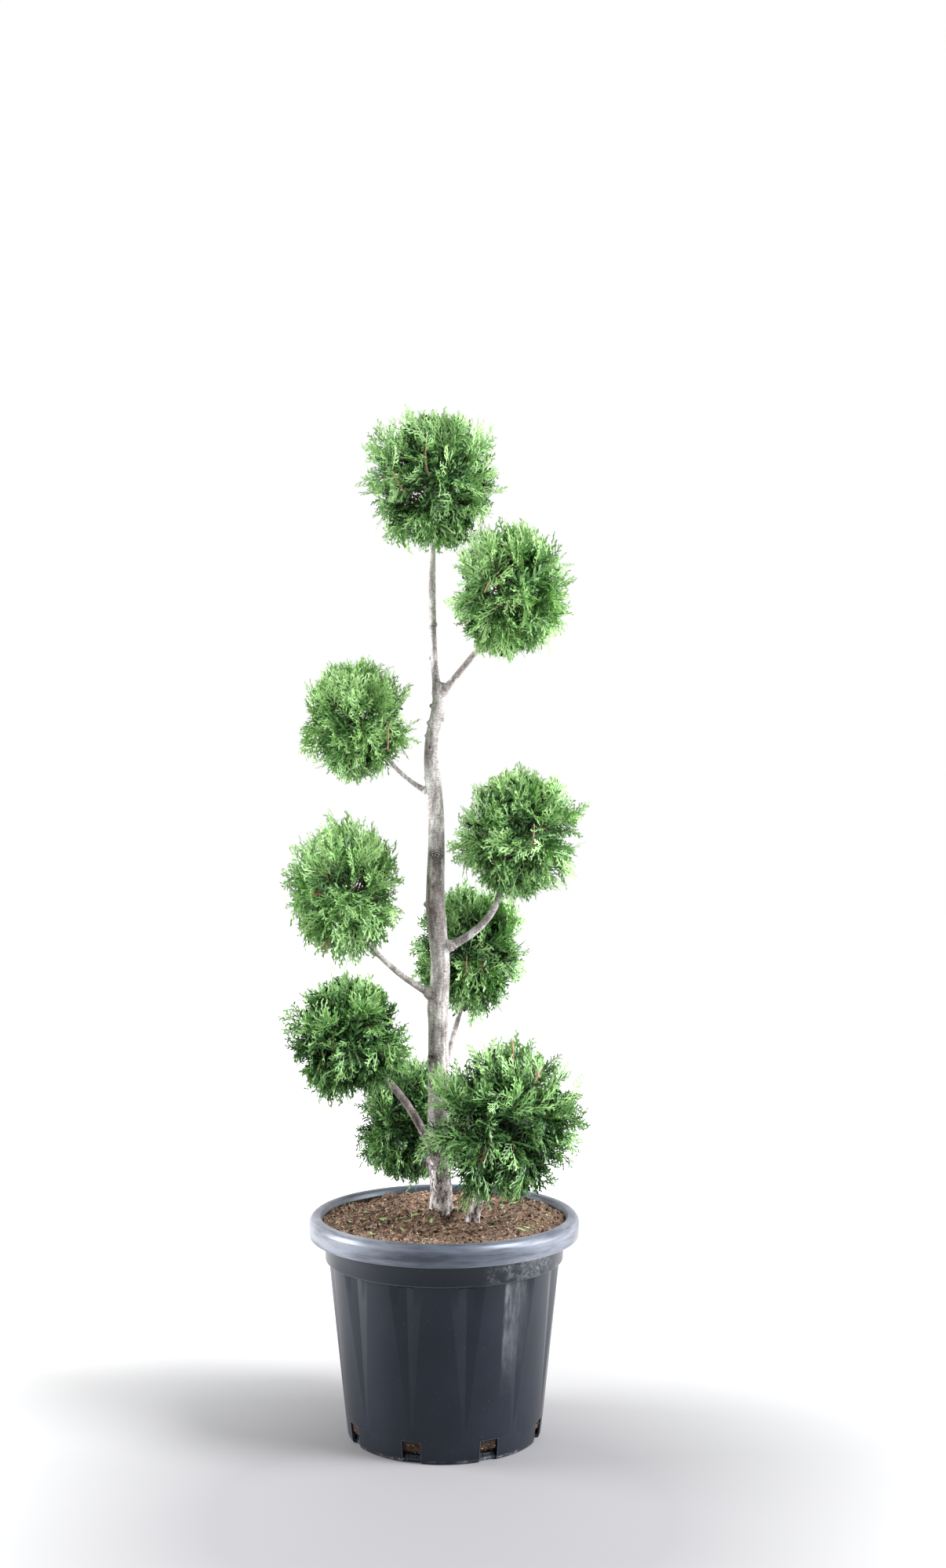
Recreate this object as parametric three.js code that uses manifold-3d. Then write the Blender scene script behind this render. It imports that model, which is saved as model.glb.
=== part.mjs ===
// A clipped arborvitae in a round plastic pot. One bent trunk and a second low stem carry nine
// boughs, and each bough ends in a ball of foliage that is clipped to shape. The pot is a tapered
// bucket with a rolled lip, shallow flutes and drain slots, and it is filled with soil.
// Units are millimetres and +Z is up. The origin is the centre of the pot's flat underside.
// The viewer faces the -Y side, with +X to the right.
import * as THREE from 'three';
import { mergeVertices } from 'three/addons/utils/BufferGeometryUtils.js';
import Module from 'manifold-3d';

const wasm = await Module();
wasm.setup();

// Driving dimensions of the pot: its wall, the collar above the shoulder, and the lip
const WALL = 3;
const FLOOR = 4;
const BASE = { radius: 139.5, bevel: 2.5, bevelHeight: 3 };
const SHOULDER = { height: 254, radius: 166.5 };
const COLLAR = { footRadius: 171.5, headRadius: 173, head: 292 };

// The lip's outline as [height, radius]: out from the collar, down and up its skirt, over its roll
const LIP_OUTSIDE = [[310, 180], [312, 190], [287, 191.5], [287, 194.2], [306, 195], [315, 191], [318, 185]];
const LIP_MOUTH = [[316.5, 178.5], [310, 176]];

// Flutes that fade out downwards, and drain slots whose lower part is closed by a set-in tongue.
// Half widths and turns from the front are in degrees.
const FLUTES = { count: 12, turn: 12, depth: 5, foot: 35, head: 250, footHalfWidth: 0.8, headHalfWidth: 8.6 };
const EVEN_HALF_WIDTH = 7.5;
const SLOTS = { count: 8, turn: 4.4, width: 26, height: 31, below: 1, from: 133.5, to: 147.5 };
const TONGUES = { width: 28, height: 10, from: 130.5, to: 134 };

// Driving dimensions of the soil and of the clearances between neighbours
const GAP = 0.3;
const SOIL_FOOT = { radius: 129.5, stepFrom: 13, stepTo: 17 };
const SOIL_EDGE = [[309, 174.9], [311, 166.5], [312, 98]];
const SOIL_TOP = 312;
const FOOT = SOIL_TOP + GAP;

// The trunk: the middle of its bent line and its radius there, from the soil to the fork
const TRUNK = [
  { at: [-3, 1, FOOT], radius: 16.5 },
  { at: [-4, 1, 344], radius: 15.6 },
  { at: [-8, 1, 400], radius: 15.8 },
  { at: [-8, 0, 510], radius: 15.2 },
  { at: [-9, -1, 590], radius: 14.1 },
  { at: [-6, -1, 680], radius: 13.8 },
  { at: [-12, 0, 760], radius: 12.9 },
  { at: [-11, 1, 880], radius: 11.6 },
  { at: [-17, 1, 1000], radius: 10.9 },
  { at: [-8, 0, 1050], radius: 9.6 },
  { at: [-7, 0, 1084], radius: 8.0 },
];
const ROOT_FLARE = { lobes: 3, swell: 0.3, fade: 20 };

// How finely the limbs are faceted: steps along, and sides round
const TRUNK_FACETS = { steps: 20, sides: 12 };
const BOUGH_FACETS = { steps: 8, sides: 8 };
const STEM_FACETS = { steps: 4, sides: 6 };

// Stubs where side shoots were pruned off: height, turn from the front, radius and length past the bark
const STUBS = [
  { height: 545, turn: -32, radius: 6.5, length: 1.6 },
  { height: 507, turn: -12, radius: 7.0, length: 1.8 },
  { height: 768, turn: -86, radius: 4.2, length: 5.5 },
  { height: 834, turn: 6, radius: 8.0, length: 1.6 },
  { height: 1024, turn: -74, radius: 5.0, length: 3.2 },
  { height: 1030, turn: 62, radius: 5.2, length: 3.0 },
  { height: 1049, turn: -80, radius: 4.0, length: 4.0 },
];
const STUB_TAPER = 0.8;

// Boughs: where each leaves the trunk's middle line, the point it bends towards, its tip, and its
// radius at both ends. The leader carries the top ball, and the low stem stands in the soil.
const BOUGHS = {
  top: { from: [-8, 0, 1060], towards: [-20, 4, 1135], tip: [-17, 8, 1287], radii: [5.6, 4.9] },
  upper_right: { from: [-5, 0, 1066], towards: [16, -12, 1090], tip: [56, -32, 1139], radii: [5.0, 3.9] },
  left_high: { from: [-15, 1, 922], towards: [-52, -2, 938], tip: [-80, 2, 972], radii: [3.9, 3.1] },
  right_middle: { from: [-4, -1, 699], towards: [78, -28, 731], tip: [83, -30, 803], radii: [6.0, 4.6] },
  left_middle: { from: [-9, -1, 630], towards: [-63, -10, 655], tip: [-105, -20, 705], radii: [5.4, 3.6] },
  back_middle: { from: [-8, 0, 482], towards: [6, 48, 552], tip: [29, 82, 618], radii: [4.6, 3.6] },
  left_low: { from: [-8, 1, 378], towards: [-37, -34, 478], tip: [-96, -40, 530], radii: [6.2, 5.4] },
  back_low: { from: [-6, 1, 366], towards: [-22, 34, 372], tip: [-34, 52, 392], radii: [5.6, 4.6] },
  front_low: { from: [45, -36, FOOT], towards: [49, -50, 345], tip: [58, -66, 372], radii: [9.4, 7.0] },
};

// Balls of foliage: the middle, and how far the tips reach from it down and up each axis
const BALLS = {
  top: { middle: [-17, 10, 1375], x: [106, 106], y: [100, 100], z: [104, 103], seed: 11 },
  upper_right: { middle: [92, -42, 1214], x: [91, 91], y: [88, 88], z: [95, 96], seed: 23 },
  left_high: { middle: [-128, 20, 1028], x: [87, 87], y: [84, 84], z: [84, 85], seed: 37 },
  right_middle: { middle: [105, -30, 866], x: [96, 97], y: [90, 90], z: [92, 93], seed: 41 },
  left_middle: { middle: [-144, -20, 788], x: [81, 85], y: [84, 84], z: [102, 101], seed: 53 },
  back_middle: { middle: [38, 96, 690], x: [89, 82], y: [80, 84], z: [98, 93], seed: 67 },
  left_low: { middle: [-139, -40, 578], x: [89, 94], y: [88, 86], z: [84, 83], seed: 71 },
  back_low: { middle: [-53, 98, 434], x: [87, 82], y: [84, 86], z: [96, 96], seed: 83 },
  front_low: { middle: [88, -97, 468], x: [106, 110], y: [100, 98], z: [108, 110], seed: 97 },
};
const CORE_SHARE = 0.78;
const SPRAYS_PER_BALL = 23;
// A spray's blade: its teeth and notches are shares of its length, along it and out to each side
const SPRAY = {
  thickness: 1.3,
  rootWidth: 6,
  rootShare: 0.45,
  tooth: [0.84, 0.42],
  notch: [0.74, 0.17],
  jitter: 0.08,
  turnJitter: 0.35,
  shortfall: 0.03,
};
const SHORTER = [1, 0.9, 0.8];
const GOLDEN_TURN = Math.PI * (3 - Math.sqrt(5));

// Materials
const potPlastic = new THREE.MeshStandardMaterial({ color: 0x2b2e35, roughness: 0.45, metalness: 0 });
const peat = new THREE.MeshStandardMaterial({ color: 0x4a3226, roughness: 0.95, metalness: 0 });
const bark = new THREE.MeshStandardMaterial({ color: 0x9a8c84, roughness: 0.85, metalness: 0 });
const scaleLeaf = new THREE.MeshStandardMaterial({ color: 0x3f7a34, roughness: 0.6, metalness: 0 });

// A seeded stream of numbers from 0 to 1, the same on every run
function seeded(seed) {
  let state = seed;
  return () => {
    state = (Math.imul(state, 1664525) + 1013904223) >>> 0;
    return state / 2 ** 32;
  };
}

// A closed three.js geometry as a solid that can be joined and cut
function solidOf(geometry) {
  const bare = geometry.clone();
  for (const name of ['normal', 'uv']) bare.deleteAttribute(name);
  const merged = mergeVertices(bare, 1e-4);
  return new wasm.Manifold(new wasm.Mesh({
    numProp: 3,
    vertProperties: merged.attributes.position.array,
    triVerts: new Uint32Array(merged.index.array),
  }));
}

// A solid as a three.js geometry
function geometryOf(solid) {
  const { vertProperties, triVerts } = solid.getMesh();
  const geometry = new THREE.BufferGeometry();
  geometry.setAttribute('position', new THREE.BufferAttribute(new Float32Array(vertProperties), 3));
  geometry.setIndex(new THREE.BufferAttribute(new Uint32Array(triVerts), 1));
  geometry.computeVertexNormals();
  return geometry;
}

// The closed skin over a stack of rings with equal counts of points, each end closed by a fan.
// Each quad folds along its shorter diagonal, so two skins laid side by side fold alike.
function skinOver(rings, firstMiddle, lastMiddle) {
  const count = rings[0].length;
  const points = [firstMiddle, ...rings.flat(), lastMiddle];
  const last = points.length - 1;
  const index = (ring, i) => 1 + ring * count + (i % count);
  const faces = [];
  for (let i = 0; i < count; i++) {
    faces.push(0, index(0, i + 1), index(0, i));
    faces.push(last, index(rings.length - 1, i), index(rings.length - 1, i + 1));
    for (let ring = 0; ring + 1 < rings.length; ring++) {
      const [a, b] = [index(ring, i), index(ring, i + 1)];
      const [c, d] = [index(ring + 1, i + 1), index(ring + 1, i)];
      if (points[a].distanceTo(points[c]) < points[b].distanceTo(points[d])) faces.push(a, b, c, a, c, d);
      else faces.push(a, b, d, b, c, d);
    }
  }
  const geometry = new THREE.BufferGeometry().setFromPoints(points);
  geometry.setIndex(faces);
  return geometry;
}

// A point by its turn from the front, in degrees towards the right, its radius and its height
function polar(turn, radius, height) {
  const angle = THREE.MathUtils.degToRad(turn);
  return new THREE.Vector3(radius * Math.sin(angle), -radius * Math.cos(angle), height);
}

// The pot and its soil

function wallRadius(height) {
  return THREE.MathUtils.mapLinear(height, 0, SHOULDER.height, BASE.radius, SHOULDER.radius);
}

// One level of the pot: each flute gives its two edges, its middle, and the middle of the land beside it
function potLevel(height, radius, halfWidth = EVEN_HALF_WIDTH, depth = 0) {
  const pitch = 360 / FLUTES.count;
  const ring = [];
  for (let i = 0; i < FLUTES.count; i++) {
    const middle = FLUTES.turn + i * pitch;
    ring.push(polar(middle - halfWidth, radius, height));
    ring.push(polar(middle, radius - depth, height));
    ring.push(polar(middle + halfWidth, radius, height));
    ring.push(polar(middle + pitch / 2, radius, height));
  }
  return ring;
}

// The tapered wall with its flutes, set in from the outer face
function flutedWall(inset) {
  return [
    potLevel(FLUTES.foot, wallRadius(FLUTES.foot) - inset, FLUTES.footHalfWidth),
    potLevel(FLUTES.head, wallRadius(FLUTES.head) - inset, FLUTES.headHalfWidth, FLUTES.depth),
  ];
}

// Upright blocks that stand round the pot at the drain slots
function blocksRound({ width, height, below = 0, from, to }) {
  const blocks = [];
  for (let i = 0; i < SLOTS.count; i++) {
    const geometry = new THREE.BoxGeometry(width, to - from, height + below);
    geometry.translate(0, -(from + to) / 2, (height - below) / 2);
    geometry.rotateZ(THREE.MathUtils.degToRad(SLOTS.turn + (i + 0.5) * 360 / SLOTS.count));
    blocks.push(solidOf(geometry));
  }
  return wasm.Manifold.union(blocks);
}

const onAxis = (height) => new THREE.Vector3(0, 0, height);

function makePot() {
  const rings = [
    potLevel(0, BASE.radius - BASE.bevel),
    potLevel(BASE.bevelHeight, BASE.radius),
    ...flutedWall(0),
    potLevel(SHOULDER.height, SHOULDER.radius),
    potLevel(SHOULDER.height, COLLAR.footRadius),
    potLevel(COLLAR.head, COLLAR.headRadius),
    ...LIP_OUTSIDE.map(([height, radius]) => potLevel(height, radius)),
    ...LIP_MOUTH.map(([height, radius]) => potLevel(height, radius)),
    potLevel(COLLAR.head + WALL, COLLAR.headRadius - WALL),
    potLevel(SHOULDER.height + WALL, COLLAR.footRadius - WALL),
    potLevel(SHOULDER.height + WALL, SHOULDER.radius - WALL),
    ...flutedWall(WALL).reverse(),
    potLevel(FLOOR, wallRadius(FLOOR) - WALL),
  ];
  const shell = solidOf(skinOver(rings, onAxis(0), onAxis(FLOOR)));
  return shell.subtract(blocksRound(SLOTS)).add(blocksRound(TONGUES));
}

function makeSoil() {
  const inset = WALL + GAP;
  const rings = [
    potLevel(FLOOR + GAP, SOIL_FOOT.radius),
    potLevel(SOIL_FOOT.stepFrom, SOIL_FOOT.radius),
    potLevel(SOIL_FOOT.stepTo, wallRadius(SOIL_FOOT.stepFrom) - inset),
    ...flutedWall(inset),
    potLevel(SHOULDER.height + inset, SHOULDER.radius - inset),
    potLevel(SHOULDER.height + inset, COLLAR.footRadius - inset),
    potLevel(COLLAR.head + inset, COLLAR.headRadius - inset),
    ...SOIL_EDGE.map(([height, radius]) => potLevel(height, radius)),
  ];
  return solidOf(skinOver(rings, onAxis(FLOOR + GAP), onAxis(SOIL_TOP)));
}

// The trunk and the boughs

// A limb along a curve. Its radius comes from radiusAt(share, turn), and growth swells it evenly.
function makeLimb(curve, radiusAt, steps, sides, growth = 0) {
  const frames = curve.computeFrenetFrames(steps);
  const rings = [];
  const middles = [];
  for (let step = 0; step <= steps; step++) {
    const share = step / steps;
    const middle = curve.getPointAt(share);
    const ring = [];
    for (let side = 0; side < sides; side++) {
      const turn = side * 2 * Math.PI / sides;
      const radius = radiusAt(share, turn) + growth;
      ring.push(middle.clone()
        .addScaledVector(frames.normals[step], radius * Math.cos(turn))
        .addScaledVector(frames.binormals[step], radius * Math.sin(turn)));
    }
    rings.push(ring);
    middles.push(middle);
  }
  if (middles[0].z === FOOT) rings[0].forEach((point) => { point.z = FOOT; });
  return solidOf(skinOver(rings, middles[0], middles[steps]));
}

const vector = (list) => new THREE.Vector3(...list);
const trunkLine = new THREE.CatmullRomCurve3(TRUNK.map((level) => vector(level.at)));

// The trunk's radius by its share of the way up, with the root flare's lobes at the foot
function trunkRadius(share, turn) {
  const height = trunkLine.getPointAt(share).z;
  let i = 1;
  while (i < TRUNK.length - 1 && TRUNK[i].at[2] < height) i++;
  const [low, high] = [TRUNK[i - 1], TRUNK[i]];
  const radius = THREE.MathUtils.mapLinear(height, low.at[2], high.at[2], low.radius, high.radius);
  const lobe = 0.5 + 0.5 * Math.cos(ROOT_FLARE.lobes * turn);
  return radius * (1 + ROOT_FLARE.swell * lobe * Math.exp(-(height - FOOT) / ROOT_FLARE.fade));
}

// A short cone where a side shoot was pruned off, rooted in the trunk
function makeStub({ height, turn, radius, length }) {
  let share = 0;
  while (share < 1 && trunkLine.getPointAt(share).z < height) share += 0.002;
  const middle = trunkLine.getPointAt(share);
  const reach = trunkRadius(share, 0) + length;
  const cone = new THREE.CylinderGeometry(radius * STUB_TAPER, radius / STUB_TAPER, reach, STEM_FACETS.sides);
  cone.translate(0, reach / 2, 0).rotateX(Math.PI).rotateZ(THREE.MathUtils.degToRad(turn));
  return solidOf(cone.translate(middle.x, middle.y, height));
}

function makeTrunk(growth = 0) {
  const limb = makeLimb(trunkLine, trunkRadius, TRUNK_FACETS.steps, TRUNK_FACETS.sides, growth);
  return growth ? limb : wasm.Manifold.union([limb, ...STUBS.map(makeStub)]);
}

function boughLine({ from, towards, tip }) {
  return new THREE.QuadraticBezierCurve3(vector(from), vector(towards), vector(tip));
}

function makeBough(bough, growth = 0) {
  const [foot, tip] = bough.radii;
  const radiusAt = (share) => foot + (tip - foot) * share;
  return makeLimb(boughLine(bough), radiusAt, BOUGH_FACETS.steps, BOUGH_FACETS.sides, growth);
}

// The balls of foliage

// How far a ball's tips reach along a direction from its middle: its outline is eight eighths of
// ellipsoids that meet smoothly
function reachAlong(ball, direction) {
  const [x, y, z] = ['x', 'y', 'z'].map((axis) => direction[axis] / ball[axis][direction[axis] < 0 ? 0 : 1]);
  return 1 / Math.hypot(x, y, z);
}

// A ball's whole space, or a share of it, as a faceted solid
function ballSolid(ball, share) {
  const geometry = new THREE.IcosahedronGeometry(1, 1);
  const position = geometry.attributes.position;
  for (let i = 0; i < position.count; i++) {
    const direction = new THREE.Vector3().fromBufferAttribute(position, i).normalize();
    const point = direction.clone().multiplyScalar(reachAlong(ball, direction) * share);
    position.setXYZ(i, point.x, point.y, point.z);
  }
  geometry.translate(...ball.middle);
  return solidOf(geometry);
}

// A flat spray of scale leaves: a fan with a tooth on each side and a longer one at its tip
function sprayBlade(length) {
  const root = [0, SPRAY.rootWidth / 2];
  const [tooth, notch] = [SPRAY.tooth, SPRAY.notch].map(([along, out]) => [along * length, out * length]);
  const right = [root, tooth, notch].map(([along, out]) => new THREE.Vector2(out, along));
  const left = right.map((point) => new THREE.Vector2(-point.x, point.y)).reverse();
  const shape = new THREE.Shape([...right, new THREE.Vector2(0, length), ...left]);
  const blade = new THREE.ExtrudeGeometry(shape, { depth: SPRAY.thickness, bevelEnabled: false });
  return blade.translate(0, 0, -SPRAY.thickness / 2);
}

// Sprays stand out from the ball's middle in directions spread by the golden turn, each jittered.
// One that would touch a limb or a neighbour's space is tried shorter, then skipped.
function makeSprays(ball, forbidden) {
  const random = seeded(ball.seed);
  const sprays = [];
  for (let i = 0; i < SPRAYS_PER_BALL; i++) {
    const level = 1 - 2 * i / (SPRAYS_PER_BALL - 1) + SPRAY.jitter * (random() - 0.5);
    const z = THREE.MathUtils.clamp(level, -1, 1);
    const turn = i * GOLDEN_TURN + SPRAY.turnJitter * (random() - 0.5);
    const flat = Math.sqrt(1 - z * z);
    const direction = new THREE.Vector3(flat * Math.cos(turn), flat * Math.sin(turn), z).normalize();
    const roll = random() * Math.PI;
    const outer = reachAlong(ball, direction) * (1 - SPRAY.shortfall * random());
    const turned = new THREE.Quaternion().setFromUnitVectors(new THREE.Vector3(0, 1, 0), direction);
    for (const share of SHORTER) {
      const inner = outer * SPRAY.rootShare;
      const place = vector(ball.middle).addScaledVector(direction, inner);
      const blade = sprayBlade(outer * share - inner).rotateY(roll).applyQuaternion(turned);
      const solid = solidOf(blade.translate(place.x, place.y, place.z));
      if (solid.intersect(forbidden).isEmpty()) {
        sprays.push(solid);
        break;
      }
    }
  }
  return sprays;
}

// The mass's own stem, from just past its bough's tip to the ball's middle
function makeMassStem(ball, bough) {
  const line = boughLine(bough);
  const onward = line.getTangentAt(1);
  const start = line.getPointAt(1).addScaledVector(onward, GAP);
  const middle = vector(ball.middle);
  const bend = start.clone().addScaledVector(onward, 0.5 * start.distanceTo(middle));
  const curve = new THREE.QuadraticBezierCurve3(start, bend, middle);
  const radius = bough.radii[1];
  return makeLimb(curve, (share) => radius * (1 - 0.5 * share), STEM_FACETS.steps, STEM_FACETS.sides);
}

// The largest of a solid's separate bodies, so that a scrap cut loose by a neighbour is dropped
function largestBody(solid) {
  return solid.decompose().reduce((best, body) => (body.volume() > best.volume() ? body : best));
}

function makeBall(name, limbsGrown) {
  const ball = BALLS[name];
  const neighbours = Object.keys(BALLS).filter((other) => other !== name);
  const spaces = neighbours.map((other) => ballSolid(BALLS[other], 1));
  const own = [ballSolid(ball, CORE_SHARE), makeMassStem(ball, BOUGHS[name])];
  const sprays = makeSprays(ball, wasm.Manifold.union([limbsGrown, ...spaces]));
  const whole = wasm.Manifold.union([...own, ...sprays]);
  return largestBody(whole.subtract(limbsGrown));
}

// The assembly

const plant = new THREE.Group();

function addNode(name, solid, material) {
  const mesh = new THREE.Mesh(geometryOf(solid), material);
  mesh.name = name;
  plant.add(mesh);
}

addNode('pot', makePot(), potPlastic);
addNode('soil', makeSoil(), peat);
addNode('trunk', makeTrunk(), bark);

// Each bough is cut back to a small gap round the trunk and round the boughs made before it
const limbNames = { top: 'leader', front_low: 'low_stem' };
const grown = [makeTrunk(GAP), ...STUBS.map(makeStub)];
for (const [place, bough] of Object.entries(BOUGHS)) {
  const limb = makeBough(bough).subtract(wasm.Manifold.union(grown));
  addNode(limbNames[place] ?? `bough_${place}`, largestBody(limb), bark);
  grown.push(makeBough(bough, GAP));
}

// Every ball keeps a small gap to the trunk and the boughs, its own among them
const allGrown = wasm.Manifold.union(grown);
for (const place of Object.keys(BALLS)) addNode(`foliage_${place}`, makeBall(place, allGrown), scaleLeaf);

export default plant;
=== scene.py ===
# %% [markdown]
# # A potted arborvitae, clipped in balls
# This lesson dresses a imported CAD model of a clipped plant: one bent trunk and a second low stem,
# nine balls of flat green sprays, and a round plastic pot filled with peat. The CAD solids have the
# true sizes and stay the guide. Each step makes one piece of the real thing in Blender, in metres,
# around them.

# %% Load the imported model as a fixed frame
import math

import bmesh
import bpy
import numpy as np
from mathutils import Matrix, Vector, noise


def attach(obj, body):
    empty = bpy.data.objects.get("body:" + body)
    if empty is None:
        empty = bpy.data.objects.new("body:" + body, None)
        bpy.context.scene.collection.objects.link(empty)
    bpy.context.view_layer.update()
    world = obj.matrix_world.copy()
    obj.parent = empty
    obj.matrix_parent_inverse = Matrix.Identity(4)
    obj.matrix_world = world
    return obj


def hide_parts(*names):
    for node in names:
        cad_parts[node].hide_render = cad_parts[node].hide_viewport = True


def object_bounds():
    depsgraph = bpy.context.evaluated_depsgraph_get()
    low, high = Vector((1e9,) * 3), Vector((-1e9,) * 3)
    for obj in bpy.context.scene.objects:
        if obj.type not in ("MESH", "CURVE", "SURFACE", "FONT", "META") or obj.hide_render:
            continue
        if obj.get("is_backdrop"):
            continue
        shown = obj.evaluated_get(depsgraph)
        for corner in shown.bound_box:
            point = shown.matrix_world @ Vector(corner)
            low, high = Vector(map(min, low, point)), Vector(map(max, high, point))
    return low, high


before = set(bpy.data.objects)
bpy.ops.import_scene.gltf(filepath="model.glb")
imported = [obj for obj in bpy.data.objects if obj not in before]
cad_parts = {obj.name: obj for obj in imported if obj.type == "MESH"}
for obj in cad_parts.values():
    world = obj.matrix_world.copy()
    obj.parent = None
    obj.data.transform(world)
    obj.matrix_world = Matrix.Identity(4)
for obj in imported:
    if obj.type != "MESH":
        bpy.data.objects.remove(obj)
cad_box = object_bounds()
MM = 0.001
print("CAD box in metres:", [[round(value, 3) for value in corner] for corner in cad_box])

# %% [markdown]
# ## Camera, floor and light
# The viewer stands almost three metres off, with the eye a little under a metre above the floor, and
# looks nearly level. A camera is fitted to that: its lens is worked out from the focal length in
# picture pixels and the picture's 2000 pixels of height.

# %% The camera
FOCAL_PIXELS = 2502
PICTURE_HEIGHT_PIXELS = 2000
FILM = 36
EYE = (0.0415, -2.828, 0.984)
LOOKS_DOWN = 0.946  # degrees

camera = bpy.data.objects.new("camera", bpy.data.cameras.new("camera"))
bpy.context.scene.collection.objects.link(camera)
camera.location = EYE
camera.rotation_euler = (math.radians(90 - LOOKS_DOWN), 0, 0)
camera.data.sensor_width = FILM
camera.data.lens = FILM * FOCAL_PIXELS / PICTURE_HEIGHT_PIXELS
bpy.context.scene.camera = camera
print("lens in millimetres:", round(camera.data.lens, 2))

# %% [markdown]
# ## Helpers for materials
# Every finish here is a small graph of nodes: a noise pattern, a colour ramp over it, a mask that
# says where it may show, and a mix with the finish below. Written out in full, each node takes
# several lines, so the kinds that come back get a helper with a plain name. Masks are numbers from 0
# to 1, and where two of them must both hold, they are multiplied.

# %% Nodes, materials and patterns
def link(material, value, socket):
    """Sets a socket to a number or colour, or joins another node's output to it."""
    if isinstance(value, bpy.types.NodeSocket):
        material.node_tree.links.new(value, socket)
    else:
        socket.default_value = value


def node(material, kind, inputs=None, **settings):
    """One shader node. An input is a number, a colour, or another node's output."""
    made = material.node_tree.nodes.new(kind)
    for name, value in settings.items():
        setattr(made, name, value)
    for name, value in (inputs or {}).items():
        link(material, value, made.inputs[name])
    return made


def new_material(name, colour, roughness):
    """A material with its shader's own sockets set, ready for nodes."""
    material = bpy.data.materials.new(name)
    material.use_nodes = True
    shader = material.node_tree.nodes["Principled BSDF"]
    shader.inputs["Base Color"].default_value = (*colour, 1)
    shader.inputs["Roughness"].default_value = roughness
    return material, shader


def ramp(material, factor, stops):
    """A colour ramp: stops are pairs of place and colour, or a plain number for a grey."""
    made = node(material, "ShaderNodeValToRGB", {"Fac": factor})
    elements = made.color_ramp.elements
    while len(elements) < len(stops):
        elements.new(0.5)
    for element, (place, colour) in zip(elements, stops):
        element.position = place
        element.color = (*(colour if isinstance(colour, tuple) else (colour,) * 3), 1)
    return made.outputs["Color"]


def noise_at(material, vector, scale, detail=3.0, roughness=0.55):
    """A noise pattern's factor, with the scale in bumps per metre."""
    made = node(material, "ShaderNodeTexNoise", {
        "Vector": vector, "Scale": scale, "Detail": detail, "Roughness": roughness})
    return made.outputs["Fac"]


def bump(material, shader, height, strength, distance):
    """Fine relief that is too small for the mesh."""
    made = node(material, "ShaderNodeBump", {
        "Height": height, "Strength": strength, "Distance": distance})
    link(material, made.outputs["Normal"], shader.inputs["Normal"])


# %% Places, sums and masks
def own_place(material):
    """Each point's place on the object, in metres."""
    return node(material, "ShaderNodeTexCoord").outputs["Object"]


def axes_of(material, place):
    """The X, Y and Z of a place, as three outputs."""
    return node(material, "ShaderNodeSeparateXYZ", {"Vector": place}).outputs


def drawn_out(material, place, upright):
    """The place with its height scaled: below 1 a pattern runs up and down, above 1 it runs round."""
    scaled = node(material, "ShaderNodeMapping", {"Vector": place, "Scale": (1.0, 1.0, upright)})
    return scaled.outputs["Vector"]


def maths(material, operation, first, second=0.0):
    """One sum on two numbers."""
    made = node(material, "ShaderNodeMath", operation=operation)
    for socket, value in zip(made.inputs, (first, second)):
        link(material, value, socket)
    return made.outputs["Value"]


def product(material, first, *others):
    """Numbers or masks multiplied together."""
    for other in others:
        first = maths(material, "MULTIPLY", first, other)
    return first


def total(material, first, *others):
    """Numbers or masks added up."""
    for other in others:
        first = maths(material, "ADD", first, other)
    return first


def graded(material, value, low, high, first=0.0, last=1.0):
    """A number that goes from first to last while the value goes from low to high."""
    return node(material, "ShaderNodeMapRange", {
        "Value": value, "From Min": low, "From Max": high, "To Min": first, "To Max": last}).outputs["Result"]


def between(material, value, low, high):
    """1 where the value is between low and high, with soft ends, else 0."""
    soft = 0.12 * (high - low)
    return product(material, graded(material, value, low - soft, low + soft),
                   graded(material, value, high - soft, high + soft, 1, 0))


def mixed(material, factor, first, second, blend="MIX"):
    """Two colours mixed by a factor."""
    made = node(material, "ShaderNodeMix", data_type="RGBA", blend_type=blend)
    link(material, factor, made.inputs["Factor"])
    colours = [socket for socket in made.inputs if socket.type == "RGBA"]
    for socket, colour in zip(colours, (first, second)):
        link(material, (*colour, 1) if isinstance(colour, tuple) else colour, socket)
    return next(socket for socket in made.outputs if socket.type == "RGBA")


# %% [markdown]
# The floor is a plain pale sheet, a little greyer near the pot, so that the dark plastic doesn't
# mirror pure white. The light is that of a white studio. One white world would do, but it would also
# shine on the pot's front and wash its black out, so the world is full white behind the plant and
# less than half as bright in front. A broad soft sun from the upper right gives the sprays and the
# trunk their bright side, and lamps on both sides draw the edges.

# %% The floor
FLOOR_HALF = 9
GREY_MIDDLE = (0, -0.3, 0)
GREY_REACH = (0.3, 1.5)  # metres from there in which the grey fades out

bpy.ops.mesh.primitive_grid_add(x_subdivisions=8, y_subdivisions=8, size=2 * FLOOR_HALF)
floor = bpy.context.object
floor.name = "floor"
floor_paint, floor_shader = new_material("floor_paint", (0.80, 0.80, 0.80), 0.7)
from_grey = node(floor_paint, "ShaderNodeVectorMath", {0: own_place(floor_paint), 1: GREY_MIDDLE},
                 operation="DISTANCE").outputs["Value"]
out_of_grey = graded(floor_paint, from_grey, *GREY_REACH)
floor_shade = ramp(floor_paint, out_of_grey, [(0.0, (0.22, 0.22, 0.23)), (1.0, 0.66)])
link(floor_paint, floor_shade, floor_shader.inputs["Base Color"])
floor.data.materials.append(floor_paint)
floor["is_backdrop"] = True
print("floor, metres across:", 2 * FLOOR_HALF)

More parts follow.
